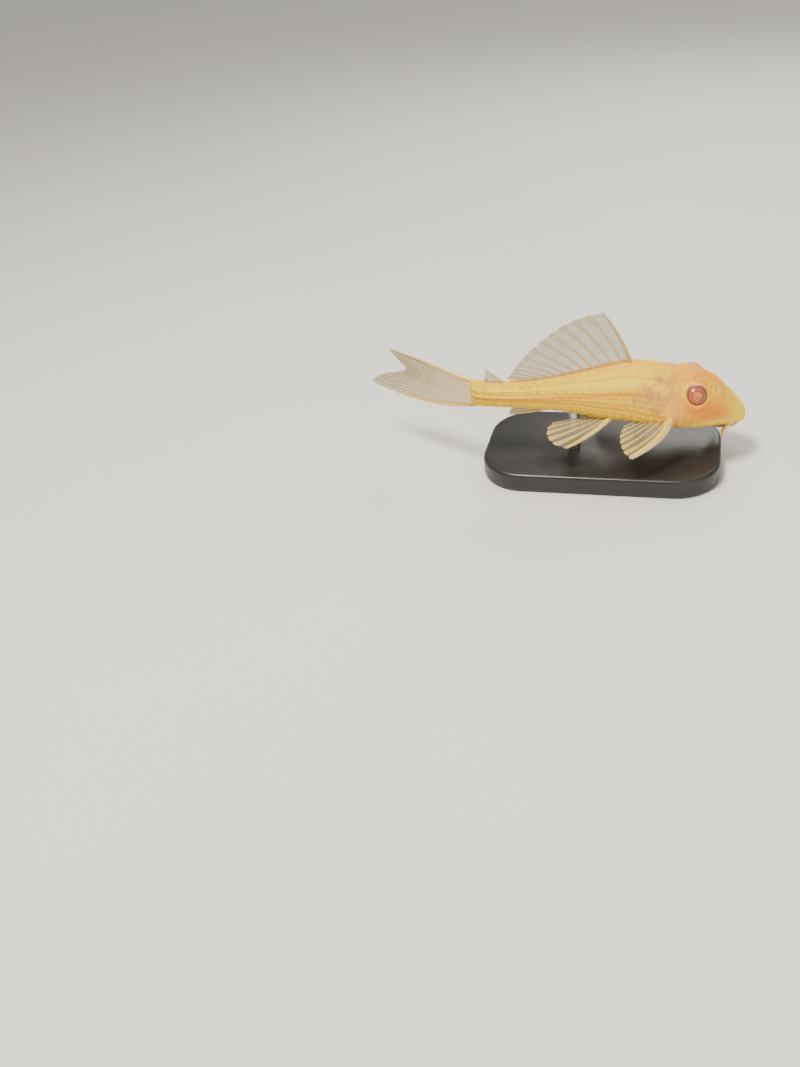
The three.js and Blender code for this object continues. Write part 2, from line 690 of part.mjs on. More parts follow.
add('head', headGeometry(), headSkinTone);
add('trunk', platedGeometry(HEAD_END + GAP / 2, TRUNK_END - GAP / 2, 0, TRUNK_PLATES), skin);
add('tail', platedGeometry(TRUNK_END + GAP / 2, BODY_LENGTH, TRUNK_PLATES, PLATES), skin);
add('mouth', mouthGeometry(), lips);
add('dorsal_fin', dorsalGeometry(), fin);
add('adipose_fin', adiposeGeometry(), fin);
add('anal_fin', analGeometry(), fin);
add('caudal_fin', caudalGeometry(), fin);
for (const [label, side] of [['left', 1], ['right', -1]]) {
  add(`eye_${label}`, ball(eyeCentre(side, EYE_SUNK), EYE_RADIUS, [1, 1, 1], 14), eyeball);
  add(`barbel_${label}`, barbelGeometry(side), lips);
  add(`pectoral_fin_${label}`, pairedGeometry(PECTORAL, side), fin);
  add(`pelvic_fin_${label}`, pairedGeometry(PELVIC, side), fin);
}
add('stand_base', standBase(), acrylic);
add('stand_rod_front', rodGeometry(ROD_FRONT), steel);
add('stand_rod_rear', rodGeometry(ROD_REAR), steel);

export default pleco;
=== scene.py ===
import math

import bpy
import numpy as np
from mathutils import Matrix, Vector


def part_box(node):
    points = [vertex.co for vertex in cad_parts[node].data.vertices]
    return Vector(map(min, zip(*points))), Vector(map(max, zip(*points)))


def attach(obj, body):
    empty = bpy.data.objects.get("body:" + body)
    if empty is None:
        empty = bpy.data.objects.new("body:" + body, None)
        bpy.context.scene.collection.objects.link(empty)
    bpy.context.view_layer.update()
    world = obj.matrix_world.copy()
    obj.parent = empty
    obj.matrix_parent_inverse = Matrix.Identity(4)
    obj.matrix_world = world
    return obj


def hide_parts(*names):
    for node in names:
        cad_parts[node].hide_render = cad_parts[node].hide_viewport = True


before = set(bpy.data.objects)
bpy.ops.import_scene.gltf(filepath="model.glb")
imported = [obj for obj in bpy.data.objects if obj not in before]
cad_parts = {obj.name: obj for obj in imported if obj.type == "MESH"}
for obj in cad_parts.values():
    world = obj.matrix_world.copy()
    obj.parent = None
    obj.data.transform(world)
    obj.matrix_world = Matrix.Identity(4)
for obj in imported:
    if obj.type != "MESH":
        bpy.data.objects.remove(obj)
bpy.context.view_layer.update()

# An albino sailfin pleco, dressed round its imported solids. Sizes below are in millimetres on a straight
# fish: s from the snout tip towards the tail, y to the fish's left, h up from its belly. place() bends
# them along the swimming curve and gives metres.

MM = 0.001
RANDOM = np.random.default_rng(7)
TURN = 2 * math.pi

# Body
BODY_LENGTH = 56
HEAD_END = 17
PLATES = 23
PLATE = (BODY_LENGTH - HEAD_END) / PLATES
BACK = [(0, 3.1), (0.5, 4), (2, 5.3), (5, 7.5), (8, 9.3), (11, 9.95), (14, 10), (18, 10.4),
        (24.5, 11.2), (28, 10.7), (32, 9.9), (37, 9.1), (43, 8.5), (52, 8.1), (56, 8.4)]
BELLY = [(0, 1.9), (0.7, 1.6), (2, 1.45), (5, 0.8), (8.5, 0.2), (12, 0), (24, 0), (30, 0.2),
         (38, 1.5), (48, 2.5), (56, 2)]
HALF_WIDTH = [(0, 1.5), (0.5, 2.8), (1.5, 3.7), (3.5, 4.8), (6, 5.9), (9, 7.1), (12, 7.9), (16, 8.4),
              (20, 8.1), (28, 6.1), (37, 3.6), (48, 2.2), (56, 1.4)]
WIDEST_HEIGHT = [(0, 2.5), (3, 2.8), (8, 3), (15, 3.1), (24, 3.3), (40, 4.5), (56, 5.3)]
BACK_ROUNDNESS = [(0, 1.9), (6, 1.75), (15, 1.75), (30, 1.8), (56, 2)]
BELLY_ROUNDNESS = [(0, 2), (6, 2.3), (12, 2.7), (30, 2.7), (42, 2.2), (56, 2)]

# Swimming curve
SNOUT = np.array([40.1, 4.6, 9.8])
AXIS_HEIGHT = 5
BANK = math.radians(4)
HEADING = [(0, 8), (12, 9), (20, 13), (28, 17), (36, 17), (44, 12), (50, 3), (56, -12), (62, -24),
           (70, -28), (86, -30)]
DIVE = [(0, 14), (8, 13.5), (16, 10), (24, 6), (34, 3), (44, 1.5), (56, 0.5), (86, 0)]
CURVE_STEP = 0.25
CURVE_LENGTH = 90

# Plates
SEAMS = np.array([0, 0.095, 0.185, 0.27, 0.35, 0.425])
SEAM_DEPTH = 0.11
SEAM_WIDTH = 0.12
PLATE_STEP = 0.18
PLATE_LIP = 0.07
PLATE_RISE = 1.3
SCALLOP = 0.4
KEEL = {"width": 0.09, "height": 0.05, "middle_row": 0.09, "on_tail": 0.05}
DOTS = 3
DOT_HEIGHT = 0.08
DOT_WIDTH = 0.3
BELLY_BARE_TO = 30
BELLY_CLOSES_IN = 5
BELLY_SUNK = 0.14
WRINKLE = 0.03
TAIL_END_ROUNDING = 0.7
RINGS_PER_PLATE = 12
HEAD_RINGS = 180
HEAD_CROWDING = 1.25
AROUND = 210
SECTION_STEPS = 720
SLOPE_STEP = 0.02

# Head
EYE_RADIUS = 2.6
EYE_SUNK = 1.5
EYE = {"s": 11.8, "y": 5.2, "h": 7.5, "rise": math.radians(26)}
EYE_DISC = 2.05
ORBIT = {"radius": 2.36, "rim": 0.24, "brow": 0.4, "width": 0.4, "socket": 1.3, "lid": (1.55, 2.05)}
CLEAR_OF_EYE = (2.7, 3.2)
NOSTRIL = {"s": 7.7, "around": 0.085, "height": 0.013, "rim_height": 0.026, "rim_length": 1.15}
GILL = {"s": 15, "from": 0.16, "to": 0.46, "bow": 2.2, "rearmost": 0.3}
SHIELD = {"seam_depth": 0.15, "seam_width": 0.22, "spacing": 2.9, "rows": (0, 0.09, 0.18, 0.27, 0.36)}

# Ridges, and grooves where they are below nothing: height and width
GILL_GROOVE = (-0.18, 0.3)
GILL_COVER = (0.12, 0.8)
CREST = (0.12, 0.018)
CROWN = (0.3, 2.6)
NOSTRIL_RIM = (0.1, 0.3)

MOUTH = {"s": 3.7, "length": 3.2, "width": 3, "lip": 0.75, "edge": 0.8, "into_head": 0.12}
BARBEL = {"s": 2, "y": 3.4, "radius": 0.56, "root": (-0.3, -0.3, 0.8), "bend": (3.1, 0.6, -1.6),
          "tip": (1.5, 1.6, -3.1), "flatness": 0.8}

# Fins
ROOT_DEPTH = 1.2
DORSAL_RAYS = 13
DORSAL_ANGLE = [(0, 61), (5, 40), (9, 19), (12, 12)]
DORSAL_LENGTH = [(0, 12.6), (2, 12.9), (5, 11.1), (8, 8.1), (12, 2.5)]
ANAL_RAYS = 5
CAUDAL_RAYS = 16
CAUDAL_LENGTH = [(0, 29.5), (3, 25.5), (7, 18.5), (9, 17), (12, 19.3), (15, 21.6)]
CAUDAL_ANGLE = [(0, -4), (4, 0), (8, 3), (12, 5), (15, 6.5)]
CAUDAL_FLARE = (-20, 16)
CAUDAL_INSET = 0.4
CAUDAL_SUNK = 0.8
CAUDAL_BEHIND = 0.3
PECTORAL = {"root": [(16.8, 7, 3.3), (20.2, 6.2, 2.2)], "bulge": (-4.4, 2.7, 0.2), "spine": (0.8, 0.44),
            "tips": [(26.4, 15.6, -1.1), (27.3, 14.3, -0.9), (27.6, 12.7, -0.6), (27.6, 11.2, -0.3),
                     (27.3, 9.7, 0), (26.8, 8.4, 0.4), (26, 7.3, 0.9)]}
PELVIC = {"root": [(28.6, 5, 1.5), (31.4, 3, 0.9)], "bulge": (-0.9, 1.1, -0.4), "spine": (0.52, 0.26),
          "tips": [(38, 8.6, -2.7), (40, 7.7, -2.3), (41, 6.4, -1.7), (41.2, 5, -1.1), (40.8, 3.8, -0.6),
                   (39.6, 2.8, -0.2)]}
MEMBRANE = 0.16
RAY = 0.42
TIP_SHARE = 0.4
ROOT_SWELL = 0.055
PLEAT = 0.08
RAY_JOINTS = 30
SPINE_INSET = 0.35

# Stand
BASE_CORNER = 9 * MM
BASE_BEVEL = 0.7 * MM
ROD_RADIUS = 1.2 * MM
ROD_INTO_BASE = 0.5 * MM
ROD_INTO_FISH = 0.35 * MM

# Camera: where it stands, in millimetres, and how it looks, from the photograph's own perspective
CAMERA_PLACE = Vector((30.68, -183.47, 114.53)) * MM
CAMERA_HEADING = math.radians(109.82)
CAMERA_DIP = math.radians(35.3)
CAMERA_ROLL = math.radians(8.1)
CAMERA_LENS = 33.74


# Curves and places


def curve(points):
    """A smooth curve through (place, value) pairs that never overshoots them."""
    x, y = np.array(points, float).T
    span = np.diff(x)
    rise = np.diff(y) / span
    slope = np.zeros(len(x))
    slope[0], slope[-1] = rise[0], rise[-1]
    for i in range(1, len(x) - 1):
        if rise[i - 1] * rise[i] > 0:
            a = 2 * span[i] + span[i - 1]
            b = span[i] + 2 * span[i - 1]
            slope[i] = (a + b) / (a / rise[i - 1] + b / rise[i])

    def value(at):
        at = np.asarray(at, float)
        k = np.clip(np.searchsorted(x, at) - 1, 0, len(x) - 2)
        t = np.clip((at - x[k]) / span[k], 0, 1)
        rest = 1 - t
        ends = rest**2 * (1 + 2 * t) * y[k] + t**2 * (3 - 2 * t) * y[k + 1]
        return ends + span[k] * (t * rest**2 * slope[k] - t**2 * rest * slope[k + 1])

    return value


back = curve(BACK)
belly = curve(BELLY)
half_width = curve(HALF_WIDTH)
widest_height = curve(WIDEST_HEIGHT)
back_roundness = curve(BACK_ROUNDNESS)
belly_roundness = curve(BELLY_ROUNDNESS)
heading = curve(HEADING)
dive = curve(DIVE)


def swimming_curve():
    """Origins and axes at small steps along the fish: forward, left, up."""
    s = np.arange(0, CURVE_LENGTH + CURVE_STEP, CURVE_STEP)
    a = np.radians(heading(s))
    b = np.radians(dive(s))
    forward = np.stack([np.cos(a) * np.cos(b), np.sin(a) * np.cos(b), -np.sin(b)], 1)
    level = np.stack([-np.sin(a), np.cos(a), 0 * a], 1)
    top = np.cross(forward, level)
    up = top * math.cos(BANK) - level * math.sin(BANK)
    left = level * math.cos(BANK) + top * math.sin(BANK)
    origin = np.zeros((len(s), 3))
    origin[1:] = -np.cumsum((forward[1:] + forward[:-1]) / 2, axis=0) * CURVE_STEP
    origin += SNOUT + (AXIS_HEIGHT - float(back(0))) * up[0]
    return s, origin, forward, left, up


CURVE_S, ORIGIN, FORWARD, LEFT, UP = swimming_curve()


def along_curve(s, vectors):
    return np.stack([np.interp(s, CURVE_S, vectors[:, i]) for i in range(3)], -1)


def place(s, y, h):
    """Points of the straight fish, bent along the swimming curve, in metres."""
    s, y, h = np.broadcast_arrays(np.asarray(s, float), np.asarray(y, float), np.asarray(h, float))
    at = np.clip(s, 0, CURVE_LENGTH)
    point = along_curve(at, ORIGIN) + along_curve(at, FORWARD) * (at - s)[..., None]
    point = point + along_curve(at, LEFT) * y[..., None]
    return (point + along_curve(at, UP) * (h - AXIS_HEIGHT)[..., None]) * MM


def section_point(s, angle):
    """Cross-section at s: angle 0 is the back, a quarter turn the left flank."""
    c, n = np.cos(angle), np.sin(angle)
    middle = widest_height(s)
    power = 2 / np.where(c >= 0, back_roundness(s), belly_roundness(s))
    reach = np.where(c >= 0, back(s), belly(s)) - middle
    return half_width(s) * np.sign(n) * np.abs(n) ** power, middle + reach * np.abs(c) ** power


def section(s, around):
    """y, h and the outward direction at parts of the way round the edge of the section at s."""
    angles = np.linspace(0, TURN, SECTION_STEPS + 1)
    y, h = section_point(s, angles)
    length = np.concatenate([[0], np.cumsum(np.hypot(np.diff(y), np.diff(h)))])
    angle = np.interp(np.mod(around, 1) * length[-1], length, angles)
    y, h = section_point(s, angle)
    ahead = section_point(s, angle + SLOPE_STEP)
    behind = section_point(s, angle - SLOPE_STEP)
    out_y, out_h = behind[1] - ahead[1], ahead[0] - behind[0]
    size = np.hypot(out_y, out_h)
    return y, h, out_y / size, out_h / size


def bell(distance, width):
    """1 at no distance, falling smoothly to nothing past about twice the width."""
    return np.exp(-((distance / width) ** 2))


def ridge(distance, height, width):
    return height * bell(distance, width)


def smooth(low, high, value):
    """A soft step from 0 at low to 1 at high."""
    t = np.clip((value - low) / (high - low), 0, 1)
    return t * t * (3 - 2 * t)


def underside(s, y):
    """Height of the body's underside at a distance y from its middle."""
    roundness = belly_roundness(s)
    across = np.minimum(np.abs(y) / half_width(s), 0.999)
    middle = widest_height(s)
    return middle - (middle - belly(s)) * (1 - across**roundness) ** (1 / roundness)


# Meshes and pieces


def add_mesh(name, points, faces, materials, slots=None, colours=None, smooth_faces=True):
    """A mesh object from points in metres, with its materials and a colour for each point."""
    mesh = bpy.data.meshes.new(name)
    mesh.from_pydata(np.asarray(points).tolist(), [], faces)
    for material in materials:
        mesh.materials.append(material)
    if slots is not None:
        mesh.polygons.foreach_set("material_index", np.asarray(slots, dtype=np.int32))
    if colours is not None:
        tint = mesh.color_attributes.new("tint", "FLOAT_COLOR", "POINT")
        rgba = np.ones((len(colours), 4), dtype=np.float32)
        rgba[:, :3] = colours
        tint.data.foreach_set("color", rgba.ravel())
    mesh.polygons.foreach_set("use_smooth", np.full(len(mesh.polygons), smooth_faces))
    mesh.validate()
    mesh.update()
    piece = bpy.data.objects.new(name, mesh)
    bpy.context.scene.collection.objects.link(piece)
    return piece


def settle(piece, slot, *nodes):
    """The piece rides on the one body and stands for its nodes; its slot is not used."""
    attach(piece, "root")
    if nodes:
        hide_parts(*nodes)


def grid_faces(rows, columns, start=0, closed=False):
    """Faces of a grid of points, row after row, closed round each row or open."""
    i, j = np.meshgrid(np.arange(rows - 1), np.arange(columns if closed else columns - 1), indexing="ij")
    k = (j + 1) % columns
    a, b = start + i * columns + j, start + i * columns + k
    c, d = start + (i + 1) * columns + k, start + (i + 1) * columns + j
    return np.stack([a, b, c, d], -1).reshape(-1, 4)


def unit(vectors):
    return vectors / np.maximum(np.linalg.norm(vectors, axis=-1, keepdims=True), 1e-12)


def fan(middle, start, count, turned=False):
    """Triangles from a middle point to a ring of points."""
    pairs = [(start + j, start + (j + 1) % count) for j in range(count)]
    return [[middle, b, a] if turned else [middle, a, b] for a, b in pairs]


def capped(rows, corners):
    """Faces round rings of points, with a flat face at each end."""
    last = (rows - 1) * corners
    caps = [list(range(corners))[::-1], list(range(last, last + corners))]
    return grid_faces(rows, corners, closed=True).tolist() + caps


def tube(points, radii, corners, flatness=1.0):
    """Points and faces of a closed tapered tube along a line of points."""
    points = np.asarray(points, float)
    tangent = unit(np.gradient(points, axis=0))
    aside = unit(np.cross(tangent, [0.2, 0.1, 1.0]))
    over = np.cross(tangent, aside)
    angle = TURN * np.arange(corners) / corners
    ring = np.cos(angle)[None, :, None] * aside[:, None]
    ring = ring + np.sin(angle)[None, :, None] * over[:, None] * flatness
    body = (points[:, None] + ring * np.asarray(radii)[:, None, None]).reshape(-1, 3)
    return body, capped(len(points), corners)


def one_colour(shape, colour):
    """The same colour at every point of an array of this shape."""
    return np.ones((*shape, 3)) * np.array(colour)


def blend_in(colour, share, other):
    return colour * (1 - share[..., None]) + np.array(other) * share[..., None]


# Materials


class Shader:
    """A material's nodes, added one by one. Scales are for coordinates in millimetres."""

    def __init__(self, name):
        self.material = bpy.data.materials.new(name)
        self.material.use_nodes = True
        self.nodes = self.material.node_tree.nodes
        self.links = self.material.node_tree.links
        self.surface = self.nodes["Principled BSDF"]

    def node(self, kind, inputs=None, **settings):
        made = self.nodes.new(kind)
        for key, value in settings.items():
            setattr(made, key, value)
        for key, value in (inputs or {}).items():
            self.feed(made.inputs[key], value)
        return made

    def feed(self, socket, value):
        if isinstance(value, bpy.types.NodeSocket):
            self.links.new(value, socket)
        else:
            socket.default_value = value

    def place(self):
        """The object's own coordinates, in millimetres."""
        source = self.node("ShaderNodeTexCoord").outputs["Object"]
        inputs = {0: source, 1: (1 / MM, 1 / MM, 1 / MM)}
        return self.node("ShaderNodeVectorMath", inputs, operation="MULTIPLY").outputs[0]

    def noise(self, scale, detail):
        inputs = {"Vector": self.place(), "Scale": scale, "Detail": detail}
        return self.node("ShaderNodeTexNoise", inputs).outputs[0]

    def cells(self, scale):
        inputs = {"Vector": self.place(), "Scale": scale}
        return self.node("ShaderNodeTexVoronoi", inputs).outputs["Distance"]

    def spread(self, value, band, to=(0.0, 1.0)):
        """A value mapped from its own band to the range that it shall have."""
        inputs = zip(("Value", "From Min", "From Max", "To Min", "To Max"), (value, *band, *to))
        return self.node("ShaderNodeMapRange", dict(inputs)).outputs[0]

    def clouds(self, scale, detail, band, to=(0.0, 1.0)):
        return self.spread(self.noise(scale, detail), band, to)

    def mix(self, share, first, second):
        made = self.node("ShaderNodeMix", data_type="RGBA")
        self.feed(made.inputs[6], first)
        self.feed(made.inputs[7], second)
        self.feed(made.inputs[0], share)
        return made.outputs[2]

    def mottled(self, scale, band, most, other):
        """The points' own colour, with soft patches of another."""
        tint = self.node("ShaderNodeAttribute", attribute_name="tint").outputs["Color"]
        return self.mix(self.clouds(scale, 4, band, (0.0, most)), tint, other)

    def bump(self, height, distance, strength, **others):
        inputs = {"Height": height, "Distance": distance * MM, "Strength": strength, **others}
        return self.node("ShaderNodeBump", inputs).outputs[0]

    def finish(self, **values):
        for key, value in values.items():
            self.feed(self.surface.inputs[key.replace("_", " ")], value)
        return self.material


def skin_material():
    shade = Shader("skin")
    warm = shade.mottled(scale=0.3, band=(0.4, 0.72), most=0.35, other=(0.80, 0.42, 0.03, 1))
    speckle = shade.spread(shade.cells(2.6), band=(0.08, 0.42), to=(0.3, 0.0))
    dotted = shade.mix(speckle, warm, (0.95, 0.76, 0.12, 1))
    fine = shade.bump(shade.noise(6.0, 3), distance=0.05, strength=0.5)
    grain = shade.bump(shade.cells(3.0), distance=0.12, strength=0.8, Normal=fine)
    rough = shade.clouds(1.3, 4, band=(0.3, 0.75), to=(0.34, 0.52))
    return shade.finish(Base_Color=dotted, Roughness=rough, Normal=grain, Subsurface_Weight=0.3,
                        Subsurface_Radius=(1.0, 0.45, 0.15), Subsurface_Scale=0.0009,
                        Specular_IOR_Level=0.2, Coat_Weight=0.05, Coat_Roughness=0.25)


def soft_material(name, colour, deep, scale):
    """Lips and barbels: soft skin with small round bumps."""
    shade = Shader(name)
    mixed = shade.mix(shade.clouds(scale, 3, band=(0.35, 0.7)), colour, deep)
    bumps = shade.bump(shade.cells(scale * 3.2), distance=0.08, strength=0.6)
    rough = shade.clouds(scale * 2, 2, band=(0.3, 0.7), to=(0.35, 0.5))
    return shade.finish(Base_Color=mixed, Roughness=rough, Normal=bumps, Subsurface_Weight=0.3,
                        Subsurface_Radius=(1.0, 0.5, 0.2), Subsurface_Scale=0.0008,
                        Coat_Weight=0.2, Coat_Roughness=0.25)


def ray_material():
    shade = Shader("fin_ray")
    colour = shade.mottled(scale=1.1, band=(0.4, 0.7), most=0.3, other=(0.88, 0.62, 0.20, 1))
    relief = shade.bump(shade.noise(8.0, 3), distance=0.04, strength=0.5)
    return shade.finish(Base_Color=colour, Roughness=0.4, Normal=relief, Subsurface_Weight=0.25,
                        Subsurface_Radius=(1.0, 0.6, 0.3), Subsurface_Scale=0.0005,
                        Specular_IOR_Level=0.35, Coat_Weight=0.1, Coat_Roughness=0.25)


def membrane_material():
    shade = Shader("fin_membrane")
    colour = shade.mottled(scale=0.9, band=(0.35, 0.7), most=0.4, other=(0.38, 0.31, 0.15, 1))
    relief = shade.bump(shade.noise(3.5, 3), distance=0.05, strength=0.4)
    return shade.finish(Base_Color=colour, Roughness=0.35, Normal=relief, Alpha=0.34)


def eye_material():
    shade = Shader("eye")
    colour = shade.mottled(scale=2.4, band=(0.4, 0.7), most=0.3, other=(0.36, 0.09, 0.03, 1))
    return shade.finish(Base_Color=colour, Roughness=0.22, Specular_IOR_Level=0.35,
                        Coat_Weight=0.4, Coat_Roughness=0.08)


def stand_material(name, scales, band, colours, roughness, **values):
    """A plain finish with faint clouds in its colour and in its roughness."""
    shade = Shader(name)
    colour = shade.mix(shade.clouds(scales[0], 3, band), *colours)
    rough = shade.clouds(scales[1], 3, band=(0.3, 0.7), to=roughness)
    return shade.finish(Base_Color=colour, Roughness=rough, **values)


SKIN = skin_material()
LIPS = soft_material("lips", (0.70, 0.50, 0.24, 1), (0.60, 0.34, 0.16, 1), 0.9)
BARBELS = soft_material("barbel", (0.92, 0.74, 0.16, 1), (0.86, 0.58, 0.10, 1), 1.1)
RAYS = ray_material()
MEMBRANES = membrane_material()
EYES = eye_material()
BASE = stand_material("stand_base", (0.2, 0.9), (0.3, 0.7),
                      [(0.016, 0.016, 0.018, 1), (0.024, 0.024, 0.027, 1)], (0.3, 0.36))
RODS = stand_material("stand_rod", (0.6, 0.8), (0.3, 0.75),
                      [(0.61, 0.62, 0.64, 1), (0.66, 0.67, 0.69, 1)], (0.28, 0.31), Metallic=1.0)


# Skin of head, trunk and tail


def eye_place(side, sunk):
    y = side * (EYE["y"] - sunk * math.cos(EYE["rise"]))
    return place(EYE["s"], y, EYE["h"] - sunk * math.sin(EYE["rise"]))


def from_eye(points):
    """Distance in millimetres from the nearer eye's place on the skin."""
    left, right = (np.linalg.norm(points - eye_place(side, 0), axis=-1) for side in (1, -1))
    return np.minimum(left, right) / MM


def plate_fields(s, fold):
    """Row, place across it, keel and place along the plate, for points s along and fold from the back.

    fold is the part of the way round the body from the back, alike on both sides: 0.5 is the belly.
    """
    row = np.clip(np.searchsorted(SEAMS, fold, side="right") - 1, 0, len(SEAMS) - 2)
    across = np.clip((fold - SEAMS[row]) / (SEAMS[row + 1] - SEAMS[row]), 0, 1)
    keel = np.sin(math.pi * across)
    along = (s - (keel - 0.5) * 2 * SCALLOP - HEAD_END) / PLATE
    return row, across, keel, along - np.floor(along)


def plated_share(s, fold):
    """1 where bony plates cover the body, 0 on the bare belly and the head."""
    behind_head = smooth(HEAD_END - 1.2, HEAD_END + 0.8, s)
    on_flank = 1 - smooth(SEAMS[-1] - 0.04, SEAMS[-1] + 0.012, fold)
    closed_behind = smooth(BELLY_BARE_TO, BELLY_BARE_TO + BELLY_CLOSES_IN, s)
    midline = smooth(0.0, 0.012, fold)
    return behind_head * np.maximum(on_flank, closed_behind) * midline


def gill_line(fold):
    """Place of the gill cover's rear edge, and how much of an edge there is."""
    along = (fold - GILL["from"]) / (GILL["to"] - GILL["from"])
    on_gill = np.sqrt(np.clip(np.sin(math.pi * np.clip(along, 0, 1)), 0, 1))
    return GILL["s"] - GILL["bow"] * (along - GILL["rearmost"]) ** 2, on_gill


def plate_dots(across, along):
    """Staggered rows of small round bumps on a plate."""
    column = across * DOTS
    stagger = np.mod(np.floor(column), 2) * 0.5
    from_middle = np.hypot(np.mod(column, 1) - 0.5, np.mod(along * DOTS + stagger, 1) - 0.5)
    return bell(from_middle, DOT_WIDTH)


def plate_relief(s, fold):
    """Each plate rises towards its free rear edge, with a keel and rows of small bumps."""
    row, across, _, along = plate_fields(s, fold)
    drop = smooth(0, PLATE_LIP, along) * (1 - smooth(PLATE_LIP, PLATE_RISE, along))
    seam = bell(across, SEAM_WIDTH) + bell(1 - across, SEAM_WIDTH)
    height = KEEL["height"] + KEEL["middle_row"] * (row == 2) + KEEL["on_tail"] * smooth(34, 44, s)
    keeled = ridge(across - 0.5, height, KEEL["width"])
    return DOT_HEIGHT * plate_dots(across, along) + keeled - PLATE_STEP * drop - SEAM_DEPTH * seam


def head_seeds():
    """Middles of the head's bony shields, alike on both sides."""
    seeds = []
    for row, height in enumerate(SHIELD["rows"]):
        for s in np.arange(3.2 + 1.3 * (row % 2), HEAD_END, SHIELD["spacing"]):
            at = s + RANDOM.uniform(-0.4, 0.4)
            fold = height + RANDOM.uniform(-0.012, 0.012) * (row > 0)
            for around in (fold, 1 - fold):
                y, h, _, _ = section(at, np.array([around]))
                seeds.append(place(at, y, h)[0])
    return np.array(seeds) / MM


HEAD_SEEDS = head_seeds()


def shield_seams(points):
    """How close points lie to a seam between two shields of the head."""
    reach = np.linalg.norm(points[..., None, :] / MM - HEAD_SEEDS, axis=-1)
    nearest = np.partition(reach, 1, axis=-1)
    return bell(nearest[..., 1] - nearest[..., 0], SHIELD["seam_width"])


def orbit_relief(fold, points, reach):
    """A rim round each eye, heavier above it, and the socket."""
    above = np.clip((points[..., 2] - eye_place(-1, 0)[2]) / (ORBIT["radius"] * MM), 0, 1)
    above = np.where(fold < 0.25, above, 0)
    rim = ridge(reach - ORBIT["radius"], ORBIT["rim"] + ORBIT["brow"] * above, ORBIT["width"])
    return rim - ORBIT["socket"] * (1 - smooth(*ORBIT["lid"], reach))


def gill_relief(s, fold):
    line, on_gill = gill_line(fold)
    return on_gill * (ridge(s - line, *GILL_GROOVE) + ridge(s - line + 0.9, *GILL_COVER))


def shield_relief(s, fold, points, reach):
    """Seams of the head's shields, a crest along the middle and a fuller crown."""
    on_head = 1 - smooth(HEAD_END - 1.5, HEAD_END, s)
    seams = (1 - smooth(0.36, 0.41, fold)) * smooth(*CLEAR_OF_EYE, reach) * smooth(2, 4, s)
    seams = seams * shield_seams(points)
    crest = ridge(fold, *CREST) * smooth(3, 9, s)
    crown = ridge(s - 12, *CROWN) * (1 - smooth(0.03, 0.09, fold))
    return on_head * (crest - SHIELD["seam_depth"] * seams) + crown


def nostril_relief(s, fold):
    """Two hollows with a flap between them, and a low rim round them."""
    behind = s - NOSTRIL["s"]
    across = fold - NOSTRIL["around"]
    lift = 0
    for middle, length, height in ((0, 0.42, -0.4), (0.5, 0.2, 0.26), (0.95, 0.34, -0.34)):
        reach = np.hypot((behind - middle) / length, across / NOSTRIL["height"])
        lift = lift + ridge(reach, height, 1)
    reach = np.hypot((behind - 0.4) / NOSTRIL["rim_length"], across / NOSTRIL["rim_height"])
    return lift + ridge(reach - 1, *NOSTRIL_RIM)


def relief(s, fold, points):
    """Lift of the skin off the plain body, in millimetres."""
    reach = from_eye(points)
    lift = plated_share(s, fold) * plate_relief(s, fold) + orbit_relief(fold, points, reach)
    lift = lift + gill_relief(s, fold) + shield_relief(s, fold, points, reach) + nostril_relief(s, fold)
    lift = lift - TAIL_END_ROUNDING * smooth(BODY_LENGTH - 1.2, BODY_LENGTH, s) * np.sin(TURN * fold) ** 2
    before_tail = 1 - smooth(BELLY_BARE_TO, BELLY_BARE_TO + BELLY_CLOSES_IN, s)
    bare = before_tail * smooth(SEAMS[-1] - 0.01, SEAMS[-1] + 0.02, fold)
    lift = lift - BELLY_SUNK * bare * smooth(HEAD_END - 2, HEAD_END + 1, s)
    wrinkle = np.sin(s * 3.1 + 2.5 * np.sin(fold * 40)) * np.cos(fold * 90 + s)
    return lift + WRINKLE * bare * wrinkle


SKIN_DEPTH = np.array([1.0, 1.6, 2.6])
SKIN_GAIN = np.array([1.08, 1.2, 0.6])
GROUND = (0.86, 0.59, 0.16)


def golden(colours):
    """Pale pigments made as deep and golden as the live skin."""
    return np.minimum(SKIN_GAIN * np.asarray(colours) ** SKIN_DEPTH, 1)


# Spots: place s, fold and size, and for the cheek how much shorter and flatter it is
BLOTCHES = [(19.4, 0.09, 1.1), (17.2, 0.1, 1.2), (16.4, 0.07, 0.8), (22, 0.155, 1.3), (20.4, 0.17, 1.4),
            (21.6, 0.2, 1.1), (18.6, 0.205, 1.2), (24, 0.205, 1.1), (17, 0.17, 1.1), (19.6, 0.235, 0.9)]
SHOULDER = (17.3, 0.24, 1.1)
CHEEK = (8.2, 0.215, 2.9, 0.85, 48)
GIRTH = 42
LATERAL_LINE = curve([(18, 0.15), (37, 0.2), (52, 0.25)])


def spot(s, fold, at, height, size, along=1, across=GIRTH):
    """How near points lie to the middle of a round marking."""
    return bell(np.hypot((s - at) * along, (fold - height) * across), size)


